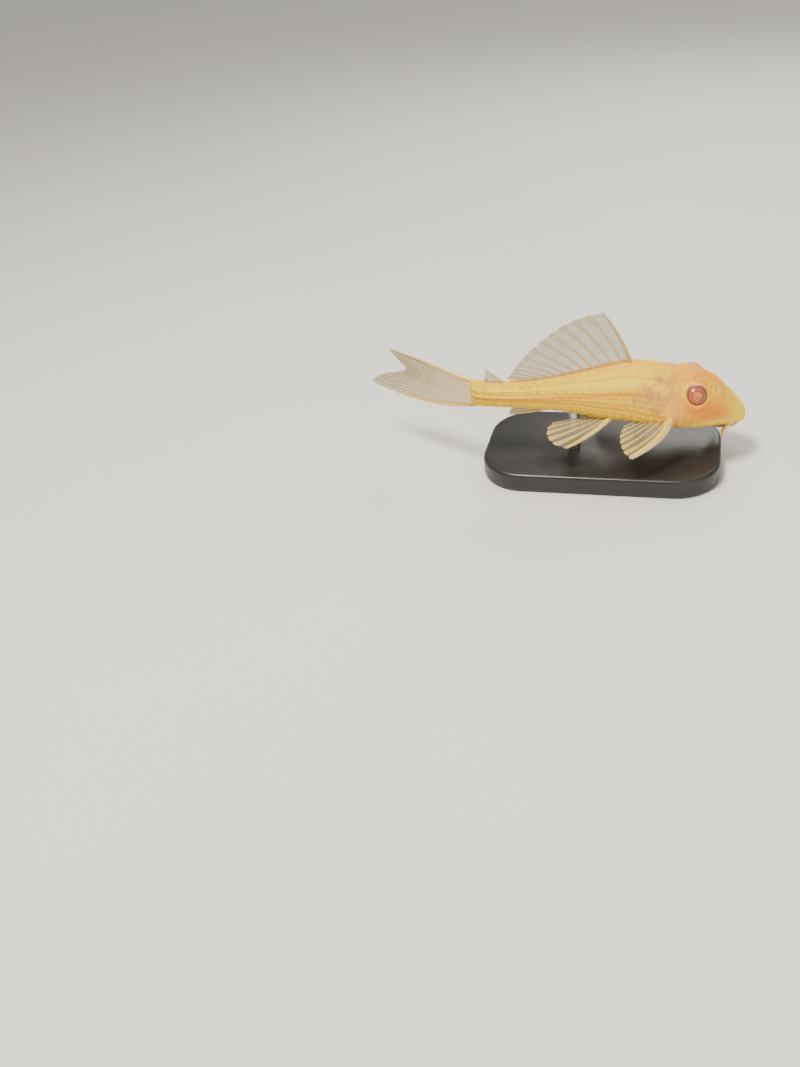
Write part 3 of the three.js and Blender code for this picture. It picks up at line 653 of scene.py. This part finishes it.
def markings(s, fold, points):
    """The pigments, and two painted highlights, that are laid over the ground in turn: how strongly,
    their colour and their place.
    """
    _, across, keel, along = plate_fields(s, fold)
    plated = plated_share(s, fold)
    from_line = fold - LATERAL_LINE(s)
    head = 1 - smooth(HEAD_END - 3, HEAD_END + 3, s)
    reach = from_eye(points)
    ragged_s = s + 0.55 * np.sin(s * 3.7 + fold * 70)
    ragged_fold = fold + 0.012 * np.sin(s * 3.1 - fold * 95)
    blotches = [spot(ragged_s, ragged_fold, *blotch) for blotch in BLOTCHES]
    # A painted highlight: a pale cream line along the cheek's lower edge
    cheek_edge_highlight = bell(fold - 0.24 - 0.0054 * s, 0.02) * (1 - smooth(12, 14.5, s)) * smooth(2, 4, s)
    under = smooth(0.36, 0.42, fold)
    gut = smooth(0.4, 0.45, fold) * smooth(14, 19, s) * (1 - smooth(29, 35, s))
    shields = head * smooth(*CLEAR_OF_EYE, reach) * smooth(4, 6, s) * (1 - under)
    seams = plated * (bell(across, 0.1) + bell(1 - across, 0.1))
    return [
        # The trunk and tail: bands along the flank, one of them a painted highlight just above the
        # lateral line, then the plates
        (0.9, (1.0, 0.765, 0.28), bell(fold - 0.11, 0.055)),
        (0.7, (0.84, 0.54, 0.17), 1 - smooth(0.015, 0.075, fold)),
        # painted highlight: a pale cream streak just above the lateral line
        (0.6, (0.94, 0.76, 0.40), bell(from_line + 0.03, 0.02) * smooth(20, 26, s)),
        (0.8, (0.70, 0.32, 0.07), bell(from_line - 0.012, 0.018) * smooth(20, 27, s)),
        (0.55, (0.88, 0.66, 0.32), smooth(0.24, 0.33, fold)),
        (0.35, (0.66, 0.34, 0.10), seams),
        (0.35, (0.66, 0.34, 0.10), plated * bell(along - 0.04, 0.1)),
        (0.55, (0.97, 0.84, 0.50), plated * plate_dots(across, along)),
        (0.3, (0.96, 0.80, 0.45), plated * bell(along - 0.88, 0.14) * keel),
        # The head and its top, the brow, the gill cover, and the shoulder's mottling
        (0.85, (0.85, 0.55, 0.22), head),
        (0.6, (0.86, 0.60, 0.22), head * (1 - smooth(0.02, 0.13, fold))),
        (0.75, (0.66, 0.38, 0.20), bell(s - 11.5, 2.6) * (1 - smooth(0.07, 0.15, fold))),
        (0.8, (0.84, 0.52, 0.55), bell(s - 15.6, 3.6) * bell(fold - 0.23, 0.11)),
        *[(0.75, (0.48, 0.36, 0.54), blotch) for blotch in blotches],
        (0.7, (0.95, 0.72, 0.45), spot(s, fold, *SHOULDER)),
        # Round the eye, the cheek, the eyelid, the snout, and a painted highlight along the cheek's lower
        # edge
        (0.65, (0.78, 0.34, 0.14), bell(reach - 3, 1) * smooth(0.14, 0.2, fold) * head),
        (0.85, (0.82, 0.34, 0.22), spot(s, fold, *CHEEK)),
        (0.6, (0.86, 0.60, 0.32), bell(reach - 2.35, 0.3) * head),
        (0.85, (0.95, 0.76, 0.22), 1 - smooth(1.8, 5.6, s)),
        (0.85, (0.98, 0.77, 0.50), cheek_edge_highlight),
        # The throat, the gut behind the bare belly, and the seams of the head's shields
        (0.75, (0.76, 0.50, 0.42), under * (1 - smooth(11, 18, s))),
        (0.75, (0.70, 0.58, 0.52), gut),
        (0.3, (0.68, 0.34, 0.13), shields * shield_seams(points)),
    ]


def skin_colour(s, fold, points):
    colour = one_colour(s.shape, GROUND)
    for strength, tone, where in markings(s, fold, points):
        colour = blend_in(colour, strength * where, tone)
    return colour


def body_skin():
    head_s = HEAD_END * np.linspace(0, 1, HEAD_RINGS) ** HEAD_CROWDING
    body_s = np.linspace(HEAD_END, BODY_LENGTH, PLATES * RINGS_PER_PLATE + 1)[1:]
    stations = np.concatenate([head_s, body_s])
    around = np.arange(AROUND) / AROUND
    s = np.repeat(stations[:, None], AROUND, 1)
    fold = np.minimum(around, 1 - around)[None] + 0 * s
    parts = [section(at, around) for at in stations]
    y, h, out_y, out_h = (np.stack([part[i] for part in parts]) for i in range(4))
    plain = place(s, y, h)
    lift = relief(s, fold, plain)
    points = place(s, y + out_y * lift, h + out_h * lift)
    colours = golden(skin_colour(s, fold, plain))
    rows = len(stations)
    size = rows * AROUND
    faces = grid_faces(rows, AROUND, closed=True).tolist()
    faces += fan(size, 0, AROUND, turned=True) + fan(size + 1, size - AROUND, AROUND)
    ends = [points[0].mean(0), points[-1].mean(0)]
    points = np.concatenate([points.reshape(-1, 3), ends])
    colours = np.concatenate([colours.reshape(-1, 3), colours[0, :1], colours[-1, :1]])
    skin = add_mesh("body_skin", points, faces, [SKIN], colours=colours)
    settle(skin, "skin", "head", "trunk", "tail")


def teeth(name, slot, material, colour, roots, directions, lengths, width, corners=5, sunk=0.3):
    """Many small cones in one mesh, each with a share of its length sunk in."""
    along = unit(np.array(directions))
    aside = unit(np.cross(along, [0.3, 0.2, 1.0]))
    over = np.cross(along, aside)
    reach = along * np.array(lengths)[:, None]
    feet = np.array(roots) - reach * sunk
    turns = TURN * np.arange(corners) / corners
    rings = [feet + (math.cos(turn) * aside + math.sin(turn) * over) * width for turn in turns]
    points = np.stack([*rings, np.array(roots) + reach], 1).reshape(-1, 3)
    faces = []
    for start in range(0, len(points), corners + 1):
        faces += fan(start + corners, start, corners)
        faces.append([start + j for j in range(corners)][::-1])
    colours = one_colour([len(points)], colour)
    piece = add_mesh(name, points, faces, [material], colours=colours, smooth_faces=False)
    settle(piece, slot)


def plate_denticles(count=7, ends=(0.14, 0.86), lowest_end=0.5, part_of_plate=0.93, outward=0.45):
    """A row of tiny teeth along the free rear edge of each plate."""
    roots, directions, lengths = [], [], []
    rows = len(SEAMS) - 1
    for k in range(PLATES):
        for row in range(rows):
            for across in np.linspace(ends[0], ends[1] if row < rows - 1 else lowest_end, count):
                keel = math.sin(math.pi * across)
                s = HEAD_END + (k + part_of_plate) * PLATE + (keel - 0.5) * 2 * SCALLOP
                fold = SEAMS[row] + (SEAMS[row + 1] - SEAMS[row]) * across
                for around in (fold, 1 - fold):
                    y, h, out_y, out_h = (v[0] for v in section(min(s, BODY_LENGTH), np.array([around])))
                    root = place(s, y, h)
                    out = place(s, y + out_y, h + out_h) - root
                    roots.append(root)
                    directions.append(place(s + 1, y, h) - root + outward * out)
                    lengths.append(RANDOM.uniform(0.12, 0.22) * MM)
    colour = golden((0.92, 0.72, 0.38))
    teeth("plate_denticles", "skin", SKIN, colour, roots, directions, lengths, 0.05 * MM)


# Eyes


# Colours from the middle of the disc outwards, at parts of its radius
EYE_RINGS = [(0, (0.76, 0.32, 0.11)), (0.1, (0.66, 0.24, 0.08)), (0.2, (0.48, 0.12, 0.05)),
             (0.32, (0.70, 0.26, 0.08)), (0.42, (0.56, 0.17, 0.06)), (0.5, (0.27, 0.06, 0.03)),
             (0.6, (0.50, 0.14, 0.06)), (0.72, (0.42, 0.11, 0.05)), (0.84, (0.27, 0.08, 0.06)),
             (0.99, (0.19, 0.06, 0.055)), (1.08, (0.72, 0.36, 0.09))]
EYE_STEPS = 96
EYE_BULGE = 0.02


def eye_colours(tilt, angle, across, up):
    """Rings round the middle of the disc, a little ragged, and a bright lobe above it."""
    stops = [stop for stop, _ in EYE_RINGS]
    shades = np.array([shade for _, shade in EYE_RINGS])
    disc = np.sin(tilt) * EYE_RADIUS / EYE_DISC
    disc = np.where(tilt > math.pi / 2, stops[-1], disc) + 0 * angle
    disc = disc + 0.05 * np.sin(3 * angle + 6 * disc) * bell(disc - 0.35, 0.2)
    colours = np.stack([np.interp(disc, stops, shades[:, i]) for i in range(3)], -1)
    lobe = bell(np.hypot(across - 0.03, up - 0.16), 0.09) * (tilt < math.pi / 2)
    colours = blend_in(colours, 0.7 * lobe, (0.80, 0.36, 0.10))
    return np.concatenate([colours.reshape(-1, 3), shades[:1], shades[-1:]])


def eyes():
    tilt = (math.pi * np.linspace(0, 1, EYE_STEPS + 1)[1:-1])[:, None]
    angle = (TURN * np.arange(EYE_STEPS) / EYE_STEPS)[None]
    across, up = np.sin(tilt) * np.cos(angle), np.sin(tilt) * np.sin(angle)
    radius = EYE_RADIUS * MM
    bulge = radius * (1 + EYE_BULGE * bell(tilt, 0.5))[..., None]
    size = across.size
    faces = grid_faces(EYE_STEPS - 1, EYE_STEPS, closed=True).tolist()
    faces += fan(size, 0, EYE_STEPS, turned=True) + fan(size + 1, size - EYE_STEPS, EYE_STEPS)
    for label, side in (("left", 1), ("right", -1)):
        centre = eye_place(side, EYE_SUNK)
        axis = unit(eye_place(side, 0) - centre)
        aside = unit(np.cross(axis, [0, 0, 1.0]))
        over = np.cross(aside, axis)
        body = across[..., None] * aside + up[..., None] * over + np.cos(tilt)[..., None] * axis
        body = centre + bulge * body
        poles = [centre + axis * radius * (1 + EYE_BULGE), centre - axis * radius]
        points = np.concatenate([body.reshape(-1, 3), poles])
        colours = eye_colours(tilt, angle, across, up)
        eye = add_mesh(f"eye_{label}_ball", points, faces, [EYES], colours=colours)
        settle(eye, "eye", f"eye_{label}")


# Fins


def midline_ray(s, h, angle, length, sweep, depth, pieces=24):
    """A ray in the fish's middle plane that leaves the body at an angle and bends tailwards."""
    lean = angle + sweep * (0.5 - (np.arange(pieces) + 0.5) / pieces)
    run = (length + depth) / pieces
    at = s - depth * math.cos(angle) + np.concatenate([[0], np.cumsum(np.cos(lean) * run)])
    height = h - depth * math.sin(angle) + np.concatenate([[0], np.cumsum(np.sin(lean) * run)])
    steps = np.linspace(0, 1, pieces + 1)

    def ray(v):
        return place(np.interp(v, steps, at), 0, np.interp(v, steps, height))

    return ray


def paired_ray(fin, side, i):
    """A bowed ray of a fin that both sides have."""
    t = i / (len(fin["tips"]) - 1)
    root = np.array(fin["root"][0]) * (1 - t) + np.array(fin["root"][1]) * t
    tip = np.array(fin["tips"][i])
    bow = np.array(fin["bulge"]) * (1 - t) ** 2
    start = root - PAIRED_SUNK * (tip - root)
    middle = (start + tip) / 2 + bow

    def ray(v):
        v = np.asarray(v)[..., None]
        p = (1 - v) ** 2 * start + 2 * v * (1 - v) * middle + v**2 * tip
        return place(p[..., 0], side * p[..., 1], p[..., 2])

    return ray


RAY_STEPS = 84
PER_RAY = 24
RAY_EDGE = 0.42
PAIRED_SUNK = 0.12

# Each fin's look: width of a ray in its own spacing, where rays fork and how far apart, leading
# spine's radius at root and tip in millimetres, notch of the free edge, extra thickness at the root,
# and colours of ray roots, ray tips and membrane
DORSAL_LOOK = {"width": 0.12, "fork": (0.6, 0.15), "spine": (0.42, 0.16), "notch": 0.006, "swell": 0.2,
               "root": (0.70, 0.46, 0.19), "tip": (0.60, 0.48, 0.28), "membrane": (0.36, 0.30, 0.18)}
PAIRED_LOOK = {"width": 0.11, "fork": (0.45, 0.18), "notch": 0.008, "swell": 0.3,
               "root": (0.82, 0.52, 0.04), "tip": (0.76, 0.54, 0.11), "membrane": (0.36, 0.30, 0.16)}
CAUDAL_LOOK = {"width": 0.13, "fork": (0.4, 0.2), "spine": (0.42, 0.14), "notch": 0.006, "swell": 1.1,
               "root": (0.82, 0.50, 0.10), "tip": (0.58, 0.50, 0.30), "membrane": (0.42, 0.37, 0.22)}
SMALL_LOOK = {"width": 0.15, "fork": (0.5, 0.17), "spine": (0.34, 0.12), "notch": 0.01, "swell": 0.2,
              "root": (0.78, 0.50, 0.18), "tip": (0.66, 0.54, 0.32), "membrane": (0.42, 0.36, 0.20)}
# Painted highlight: the pale bluish sheen laid along the forward-facing side of each leading spine
SPINE_HIGHLIGHT = (0.78, 0.84, 0.76)
FLESHY_ROOT = 0.16


def ray_field(offset, v, look, single):
    """How strongly a point lies on a ray. Rays fork in the middle and again near the tip."""
    start, spread = look["fork"]
    fork = spread * smooth(start, 1.0, v)
    second = 0.35 * spread * smooth(0.5 + start / 2, 1.0, v)
    narrow = look["width"] * (1 - 0.45 * smooth(start - 0.1, 1.0, v))
    branches = [bell(offset - a * fork - b * second, narrow) for a in (-1, 1) for b in (-1, 1)]
    forked = np.maximum.reduce(branches)
    return np.where(single, bell(offset, look["width"] * (1 - 0.4 * v)), forked)


def spine_radius(v, radii):
    return radii[1] + (radii[0] - radii[1]) * (1 - v**1.6)


def spine_tube(ray, ray_beside, radii, steps=50, corners=14):
    """A leading spine along a ray, how far each point faces forwards, and its place along the ray."""
    v = np.linspace(0, 1, steps)
    line = ray(v)
    inward = unit(ray_beside(v) - line)
    taper = spine_radius(v, radii) * np.sqrt(1 - 0.9 * v**30) * MM
    middle = line + inward * (taper * SPINE_INSET)[:, None]
    points, faces = tube(middle, taper, corners)
    out = points - np.repeat(middle, corners, axis=0)
    front = -np.sum(out * np.repeat(inward, corners, axis=0), axis=1)
    return points, faces, np.clip(front / np.repeat(taper, corners), 0, 1), np.repeat(v, corners)


def fin_lines(rays, position, v, notch):
    """Points of the fin's middle sheet, with a free edge that is notched between the rays."""
    low = np.clip(np.floor(position).astype(int), 0, len(rays) - 2)
    part = position - low
    reach = v * (1 - notch * np.sin(math.pi * part)[None] ** 2 * v)
    lines = np.empty(reach.shape + (3,))
    for j, (k, share) in enumerate(zip(low, part)):
        lines[:, j] = rays[k](reach[:, j]) * (1 - share) + rays[k + 1](reach[:, j]) * share
    return lines


def fin_faces(lines, position, v, on_ray, look):
    """Points of the fin's two faces, gently pleated, with jointed rays and a swollen root."""
    normal = unit(np.cross(np.gradient(lines, axis=0), np.gradient(lines, axis=1)))
    in_joint = (np.mod(v * RAY_JOINTS, 1) < 0.25) & (v > 0.35)
    raised = on_ray * (RAY - MEMBRANE) * (1 - 0.25 * in_joint)
    taper = 1 - (1 - TIP_SHARE) * v**1.3
    thick = (MEMBRANE + raised) * taper + look["swell"] * bell(v, ROOT_SWELL)
    pleat = PLEAT * np.sin(TURN * position)[None] * smooth(0.1, 0.8, v)
    middle = lines + normal * (pleat * MM)[..., None]
    half = normal * (thick * MM / 2)[..., None]
    return middle + half, middle - half


def rim_walls(rows, columns):
    """Faces that join the rims of two like grids of points, one after the other."""
    size = rows * columns
    rim = list(range(columns - 1))
    rim += [i * columns + columns - 1 for i in range(rows - 1)]
    rim += [(rows - 1) * columns + j for j in range(columns - 1, 0, -1)]
    rim += [i * columns for i in range(rows - 1, 0, -1)]
    return [[b, a, size + a, size + b] for a, b in zip(rim, rim[1:] + rim[:1])]


def fin_colours(on_ray, v, look):
    tipward = smooth(0.15, 0.8, v) + 0 * on_ray
    shade = blend_in(one_colour(on_ray.shape, look["root"]), tipward, look["tip"])
    thinning = 0.4 + 0.6 * smooth(FLESHY_ROOT / 2, 2 * FLESHY_ROOT, v)
    return blend_in(shade, (1 - smooth(0.15, 0.45, on_ray)) * thinning, look["membrane"]).reshape(-1, 3)


def fin_piece(name, rays, node, look, spines=(0,)):
    """A membrane with rays raised on both faces, and a round spine along its leading edge."""
    position = np.linspace(0, len(rays) - 1, (len(rays) - 1) * PER_RAY + 1)
    v = np.linspace(0, 1, RAY_STEPS + 1)[:, None]
    nearest = np.round(position).astype(int)
    on_ray = ray_field((position - nearest)[None], v, look, np.isin(nearest, spines)[None])
    lines = fin_lines(rays, position, v, look["notch"])
    front, rear = fin_faces(lines, position, v, on_ray, look)
    rows, columns = on_ray.shape
    walls = rim_walls(rows, columns)
    faces = grid_faces(rows, columns).tolist()
    faces += grid_faces(rows, columns, on_ray.size)[:, ::-1].tolist() + walls
    solid = on_ray > RAY_EDGE
    thin = np.where(solid[:-1, :-1] & solid[1:, 1:], 0, 1).reshape(-1)
    slots = [thin, thin, np.ones(len(walls), int)]
    points = [front.reshape(-1, 3), rear.reshape(-1, 3)]
    colours = [fin_colours(on_ray, v, look)] * 2
    for spine in spines:
        beside = rays[1] if spine == 0 else rays[spine - 1]
        body, body_faces, light, along = spine_tube(rays[spine], beside, look["spine"])
        start = sum(len(p) for p in points)
        points.append(body)
        faces += [[start + i for i in face] for face in body_faces]
        slots.append(np.zeros(len(body_faces), int))
        tone = blend_in(one_colour([len(body)], look["root"]), 0.6 * along, look["tip"])
        # painted highlight: the spine's forward-facing side paled towards a bluish sheen
        pale = 0.7 * smooth(0.55, 1.0, light) * smooth(0.1, 0.35, along)
        colours.append(blend_in(tone, pale, SPINE_HIGHLIGHT))
    piece = add_mesh(name, np.concatenate(points), faces, [RAYS, MEMBRANES], slots=np.concatenate(slots),
                     colours=np.concatenate(colours))
    settle(piece, "fin", node)


DORSAL = {"edge": back, "s": 24.7, "spacing": 1.78, "sweep": math.radians(16),
          "angles": curve(DORSAL_ANGLE)(range(DORSAL_RAYS)),
          "lengths": curve(DORSAL_LENGTH)(range(DORSAL_RAYS))}
ANAL = {"edge": belly, "s": 39.8, "spacing": 0.8, "sweep": math.radians(-10),
        "angles": 3 * np.arange(ANAL_RAYS) - 8, "lengths": 8.8 - 1.1 * np.arange(ANAL_RAYS)}
ADIPOSE = {"edge": back, "s": 49.4, "spacing": 3.2 / 3, "sweep": math.radians(14),
           "angles": 42 - 8.4 * np.arange(4), "lengths": 4.6 * np.array([1, 0.62, 0.38, 0.16])}


def midline_rays(fin):
    """Rays that rise from the back or drop from the belly, each at its own angle in degrees."""
    places = fin["s"] + np.arange(len(fin["angles"])) * fin["spacing"]
    return [midline_ray(s, float(fin["edge"](s)), math.radians(angle), length, fin["sweep"], ROOT_DEPTH)
            for s, angle, length in zip(places, fin["angles"], fin["lengths"])]


def caudal_rays():
    """Rays of the tail fin, set side by side across the body's end."""
    steps = range(CAUDAL_RAYS)
    low = float(belly(BODY_LENGTH)) + CAUDAL_INSET
    high = float(back(BODY_LENGTH)) - CAUDAL_INSET
    start = BODY_LENGTH + CAUDAL_BEHIND - CAUDAL_SUNK
    rays = []
    for i, angle, length in zip(steps, curve(CAUDAL_ANGLE)(steps), curve(CAUDAL_LENGTH)(steps)):
        t = i / (CAUDAL_RAYS - 1)
        flare = math.radians(CAUDAL_FLARE[0] * (1 - t) + CAUDAL_FLARE[1] * t)
        height = low + (high - low) * t
        rays.append(midline_ray(start, height, math.radians(angle), length + CAUDAL_SUNK, flare, 0))
    return rays


def spine_denticles(label, side, count=90, ends=(0.08, 0.97), most_turned=1.9, outward=0.5):
    """Small teeth on the leading spine of a pectoral fin, longer towards its tip."""
    ray = paired_ray(PECTORAL, side, 0)
    beside = paired_ray(PECTORAL, side, 1)
    roots, directions, lengths = [], [], []
    for v in np.linspace(*ends, count):
        root = ray(v)
        run = unit(ray(min(v + 0.01, 1.0)) - ray(v - 0.01))
        inward = unit(beside(v) - root)
        turn = RANDOM.uniform(-most_turned, most_turned)
        out = -inward * math.cos(turn) + np.cross(run, inward) * math.sin(turn)
        radius = spine_radius(v, PECTORAL["spine"]) * MM
        roots.append(root + inward * SPINE_INSET * radius + out * radius * 0.97)
        directions.append(run + outward * out)
        lengths.append((0.18 + 0.3 * v) * RANDOM.uniform(0.7, 1.2) * MM)
    colour = (0.90, 0.64, 0.18)
    teeth(f"pectoral_teeth_{label}", "fin", RAYS, colour, roots, directions, lengths, 0.07 * MM)


def fins():
    fin_piece("dorsal_sail", midline_rays(DORSAL), "dorsal_fin", DORSAL_LOOK)
    fin_piece("tail_fan", caudal_rays(), "caudal_fin", CAUDAL_LOOK, spines=(0, CAUDAL_RAYS - 1))
    fin_piece("anal_fan", midline_rays(ANAL), "anal_fin", SMALL_LOOK)
    fin_piece("adipose_flap", midline_rays(ADIPOSE), "adipose_fin", SMALL_LOOK)
    for label, side in (("left", 1), ("right", -1)):
        for name, fin in (("pectoral", PECTORAL), ("pelvic", PELVIC)):
            rays = [paired_ray(fin, side, i) for i in range(len(fin["tips"]))]
            look = {**PAIRED_LOOK, "spine": fin["spine"]}
            fin_piece(f"{name}_fan_{label}", rays, f"{name}_fin_{label}", look)
        spine_denticles(label, side)


# Mouth and barbels


def mouth_disc(rings=44, spokes=120):
    """A sucking disc: a ring of lip round a slit, with small bumps and a fringed edge."""
    profile = curve([(0, 0.3), (0.3, 0.5), (0.6, 1), (0.85, 0.82), (1, 0)])
    r = np.linspace(0, 1, rings + 1)[1:][:, None]
    angle = (TURN * np.arange(spokes) / spokes)[None]
    s = MOUTH["s"] + MOUTH["length"] * r * np.cos(angle)
    y = MOUTH["width"] * r * np.sin(angle)
    slit = bell(s - MOUTH["s"], 0.55) * bell(y, 1.7)
    papillae = 0.07 * np.cos(s * 9 + np.sin(y * 5)) * np.cos(y * 9) * bell(r - 0.65, 0.28)
    fringe = 0.08 * np.cos(angle * 26) * bell(r - 0.93, 0.08)
    thick = MOUTH["edge"] + MOUTH["lip"] * (profile(r) - 0.75 * slit) + papillae + fringe
    roof = underside(s, y) + MOUTH["into_head"]
    lower = place(s, y, roof - 0.3 - thick)
    upper = place(s, y, roof)
    centre = underside(MOUTH["s"], 0) + MOUTH["into_head"]
    middles = [place(MOUTH["s"], 0, centre - 0.45), place(MOUTH["s"], 0, centre)]
    points = np.concatenate([lower.reshape(-1, 3), upper.reshape(-1, 3), middles])
    size = rings * spokes
    faces = grid_faces(rings, spokes, closed=True)[:, ::-1].tolist()
    faces += grid_faces(rings, spokes, size, closed=True).tolist()
    faces += fan(2 * size, 0, spokes) + fan(2 * size + 1, size, spokes, turned=True)
    edge = [(size - spokes + j, size - spokes + (j + 1) % spokes) for j in range(spokes)]
    faces += [[a, b, size + b, size + a] for a, b in edge]
    disc = add_mesh("lip_disc", points, faces, [LIPS])
    settle(disc, "lips", "mouth")


def barbels():
    foot = float(underside(BARBEL["s"], BARBEL["y"]))
    s, y, h = np.transpose([BARBEL["root"], BARBEL["bend"], BARBEL["tip"]])
    s, y, h = BARBEL["s"] + s, BARBEL["y"] + y, foot + h
    t = np.linspace(0, 1, 28)[:, None]
    taper = (1 - 0.6 * t[:, 0] ** 1.6) * np.sqrt(1 - 0.95 * t[:, 0] ** 12)
    for label, side in (("left", 1), ("right", -1)):
        root, bend, tip = place(s, side * y, h)
        line = (1 - t) ** 2 * root + 2 * t * (1 - t) * bend + t**2 * tip
        points, faces = tube(line, BARBEL["radius"] * MM * taper, 14, BARBEL["flatness"])
        piece = add_mesh(f"barbel_{label}_skin", points, faces, [BARBELS])
        settle(piece, "lips", f"barbel_{label}")


# Stand


def rounded_outline(length, width, inset, steps=16):
    """Corners of the base's rounded rectangle, drawn in by an inset."""
    points = []
    for x, y, start in ((1, 1, 0), (-1, 1, 90), (-1, -1, 180), (1, -1, 270)):
        for step in range(steps + 1):
            angle = math.radians(start + 90 * step / steps)
            points.append((x * (length / 2 - BASE_CORNER) + math.cos(angle) * (BASE_CORNER - inset),
                           y * (width / 2 - BASE_CORNER) + math.sin(angle) * (BASE_CORNER - inset)))
    return points


def stand():
    low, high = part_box("stand_base")
    length, width = high[0] - low[0], high[1] - low[1]
    middle_x, middle_y = (low[0] + high[0]) / 2, (low[1] + high[1]) / 2
    turns = np.radians(np.arange(0, 91, 15))
    rounding = [(BASE_BEVEL * (1 - math.sin(turn)), BASE_BEVEL * (1 - math.cos(turn))) for turn in turns]
    levels = [(inset, low[2] + rise) for inset, rise in rounding]
    levels += [(inset, high[2] - rise) for inset, rise in rounding[::-1]]
    points = []
    for inset, z in levels:
        points += [(middle_x + x, middle_y + y, z) for x, y in rounded_outline(length, width, inset)]
    faces = capped(len(levels), len(points) // len(levels))
    base = add_mesh("stand_base_block", points, faces, [BASE])
    settle(base, "base", "stand_base")
    for label in ("front", "rear"):
        node = f"stand_rod_{label}"
        foot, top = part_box(node)
        x, y = (foot[0] + top[0]) / 2, (foot[1] + top[1]) / 2
        line = [(x, y, z) for z in np.linspace(foot[2] - ROD_INTO_BASE, top[2] + ROD_INTO_FISH, 24)]
        points, faces = tube(line, np.full(len(line), ROD_RADIUS), corners=40)
        rod = add_mesh(f"{node}_bar", points, faces, [RODS])
        settle(rod, "rod", node)


# Scene


# Soft round lights: place in millimetres, size in metres, power and colour
LIGHTS_AIM = (5, 0, 18)
LIGHTS = {
    "key": ((-90, -110, 390), 0.12, 2.5, (1.0, 0.94, 0.80)),
    "fill": ((260, -260, 130), 0.3, 0.4, (1.0, 0.95, 0.86)),
    "rim": ((60, 300, 240), 0.2, 0.6, (1.0, 0.96, 0.88)),
}


def studio():
    """A plain pale floor."""
    reach = 3
    mesh = bpy.data.meshes.new("floor")
    mesh.from_pydata([(-reach, -reach, 0), (reach, -reach, 0), (reach, reach, 0), (-reach, reach, 0)], [],
                     [(0, 1, 2, 3)])
    shade = Shader("floor")
    cloud = shade.clouds(0.01, 3, band=(0.3, 0.7))
    colour = shade.mix(cloud, (0.73, 0.725, 0.715, 1), (0.76, 0.755, 0.745, 1))
    mesh.materials.append(shade.finish(Base_Color=colour, Roughness=0.6))
    floor = bpy.data.objects.new("floor", mesh)
    bpy.context.scene.collection.objects.link(floor)


def add_light(name, kind, colour, energy):
    data = bpy.data.lights.new(name, kind)
    data.color = colour
    data.energy = energy
    light = bpy.data.objects.new(name, data)
    bpy.context.scene.collection.objects.link(light)
    return light


def lights():
    aim = Vector(LIGHTS_AIM) * MM
    for name, (spot_mm, size, power, colour) in LIGHTS.items():
        light = add_light(name, "AREA", colour, power)
        light.data.shape = "DISK"
        light.data.size = size
        at = Vector(spot_mm) * MM
        turn = (aim - at).to_track_quat("-Z", "Y").to_matrix().to_4x4()
        light.matrix_world = Matrix.Translation(at) @ turn
    ceiling = add_light("ceiling", "SUN", (1.0, 0.95, 0.84), 0.75)
    ceiling.data.angle = math.radians(40)
    ceiling.rotation_euler = np.radians((-14, -10, 0))
    world = bpy.data.worlds.new("studio")
    bpy.context.scene.world = world
    world.use_nodes = True
    background = world.node_tree.nodes["Background"]
    background.inputs["Color"].default_value = (1.0, 0.96, 0.90, 1)
    background.inputs["Strength"].default_value = 0.36


def camera():
    data = bpy.data.cameras.new("camera")
    data.lens = CAMERA_LENS
    data.sensor_width = 36
    data.clip_start = 0.01
    data.clip_end = 20
    eye = bpy.data.objects.new("camera", data)
    level = math.cos(CAMERA_DIP)
    level_x, level_y = math.cos(CAMERA_HEADING) * level, math.sin(CAMERA_HEADING) * level
    ahead = Vector((level_x, level_y, -math.sin(CAMERA_DIP)))
    right = ahead.cross(Vector((0, 0, 1))).normalized()
    up = right.cross(ahead)
    rolled_right = right * math.cos(CAMERA_ROLL) - up * math.sin(CAMERA_ROLL)
    rolled_up = up * math.cos(CAMERA_ROLL) + right * math.sin(CAMERA_ROLL)
    turn = Matrix((rolled_right, rolled_up, -ahead)).transposed().to_4x4()
    eye.matrix_world = Matrix.Translation(CAMERA_PLACE) @ turn
    bpy.context.scene.collection.objects.link(eye)
    bpy.context.scene.camera = eye


camera()
lights()
studio()
body_skin()
plate_denticles()
eyes()
fins()
mouth_disc()
barbels()
stand()
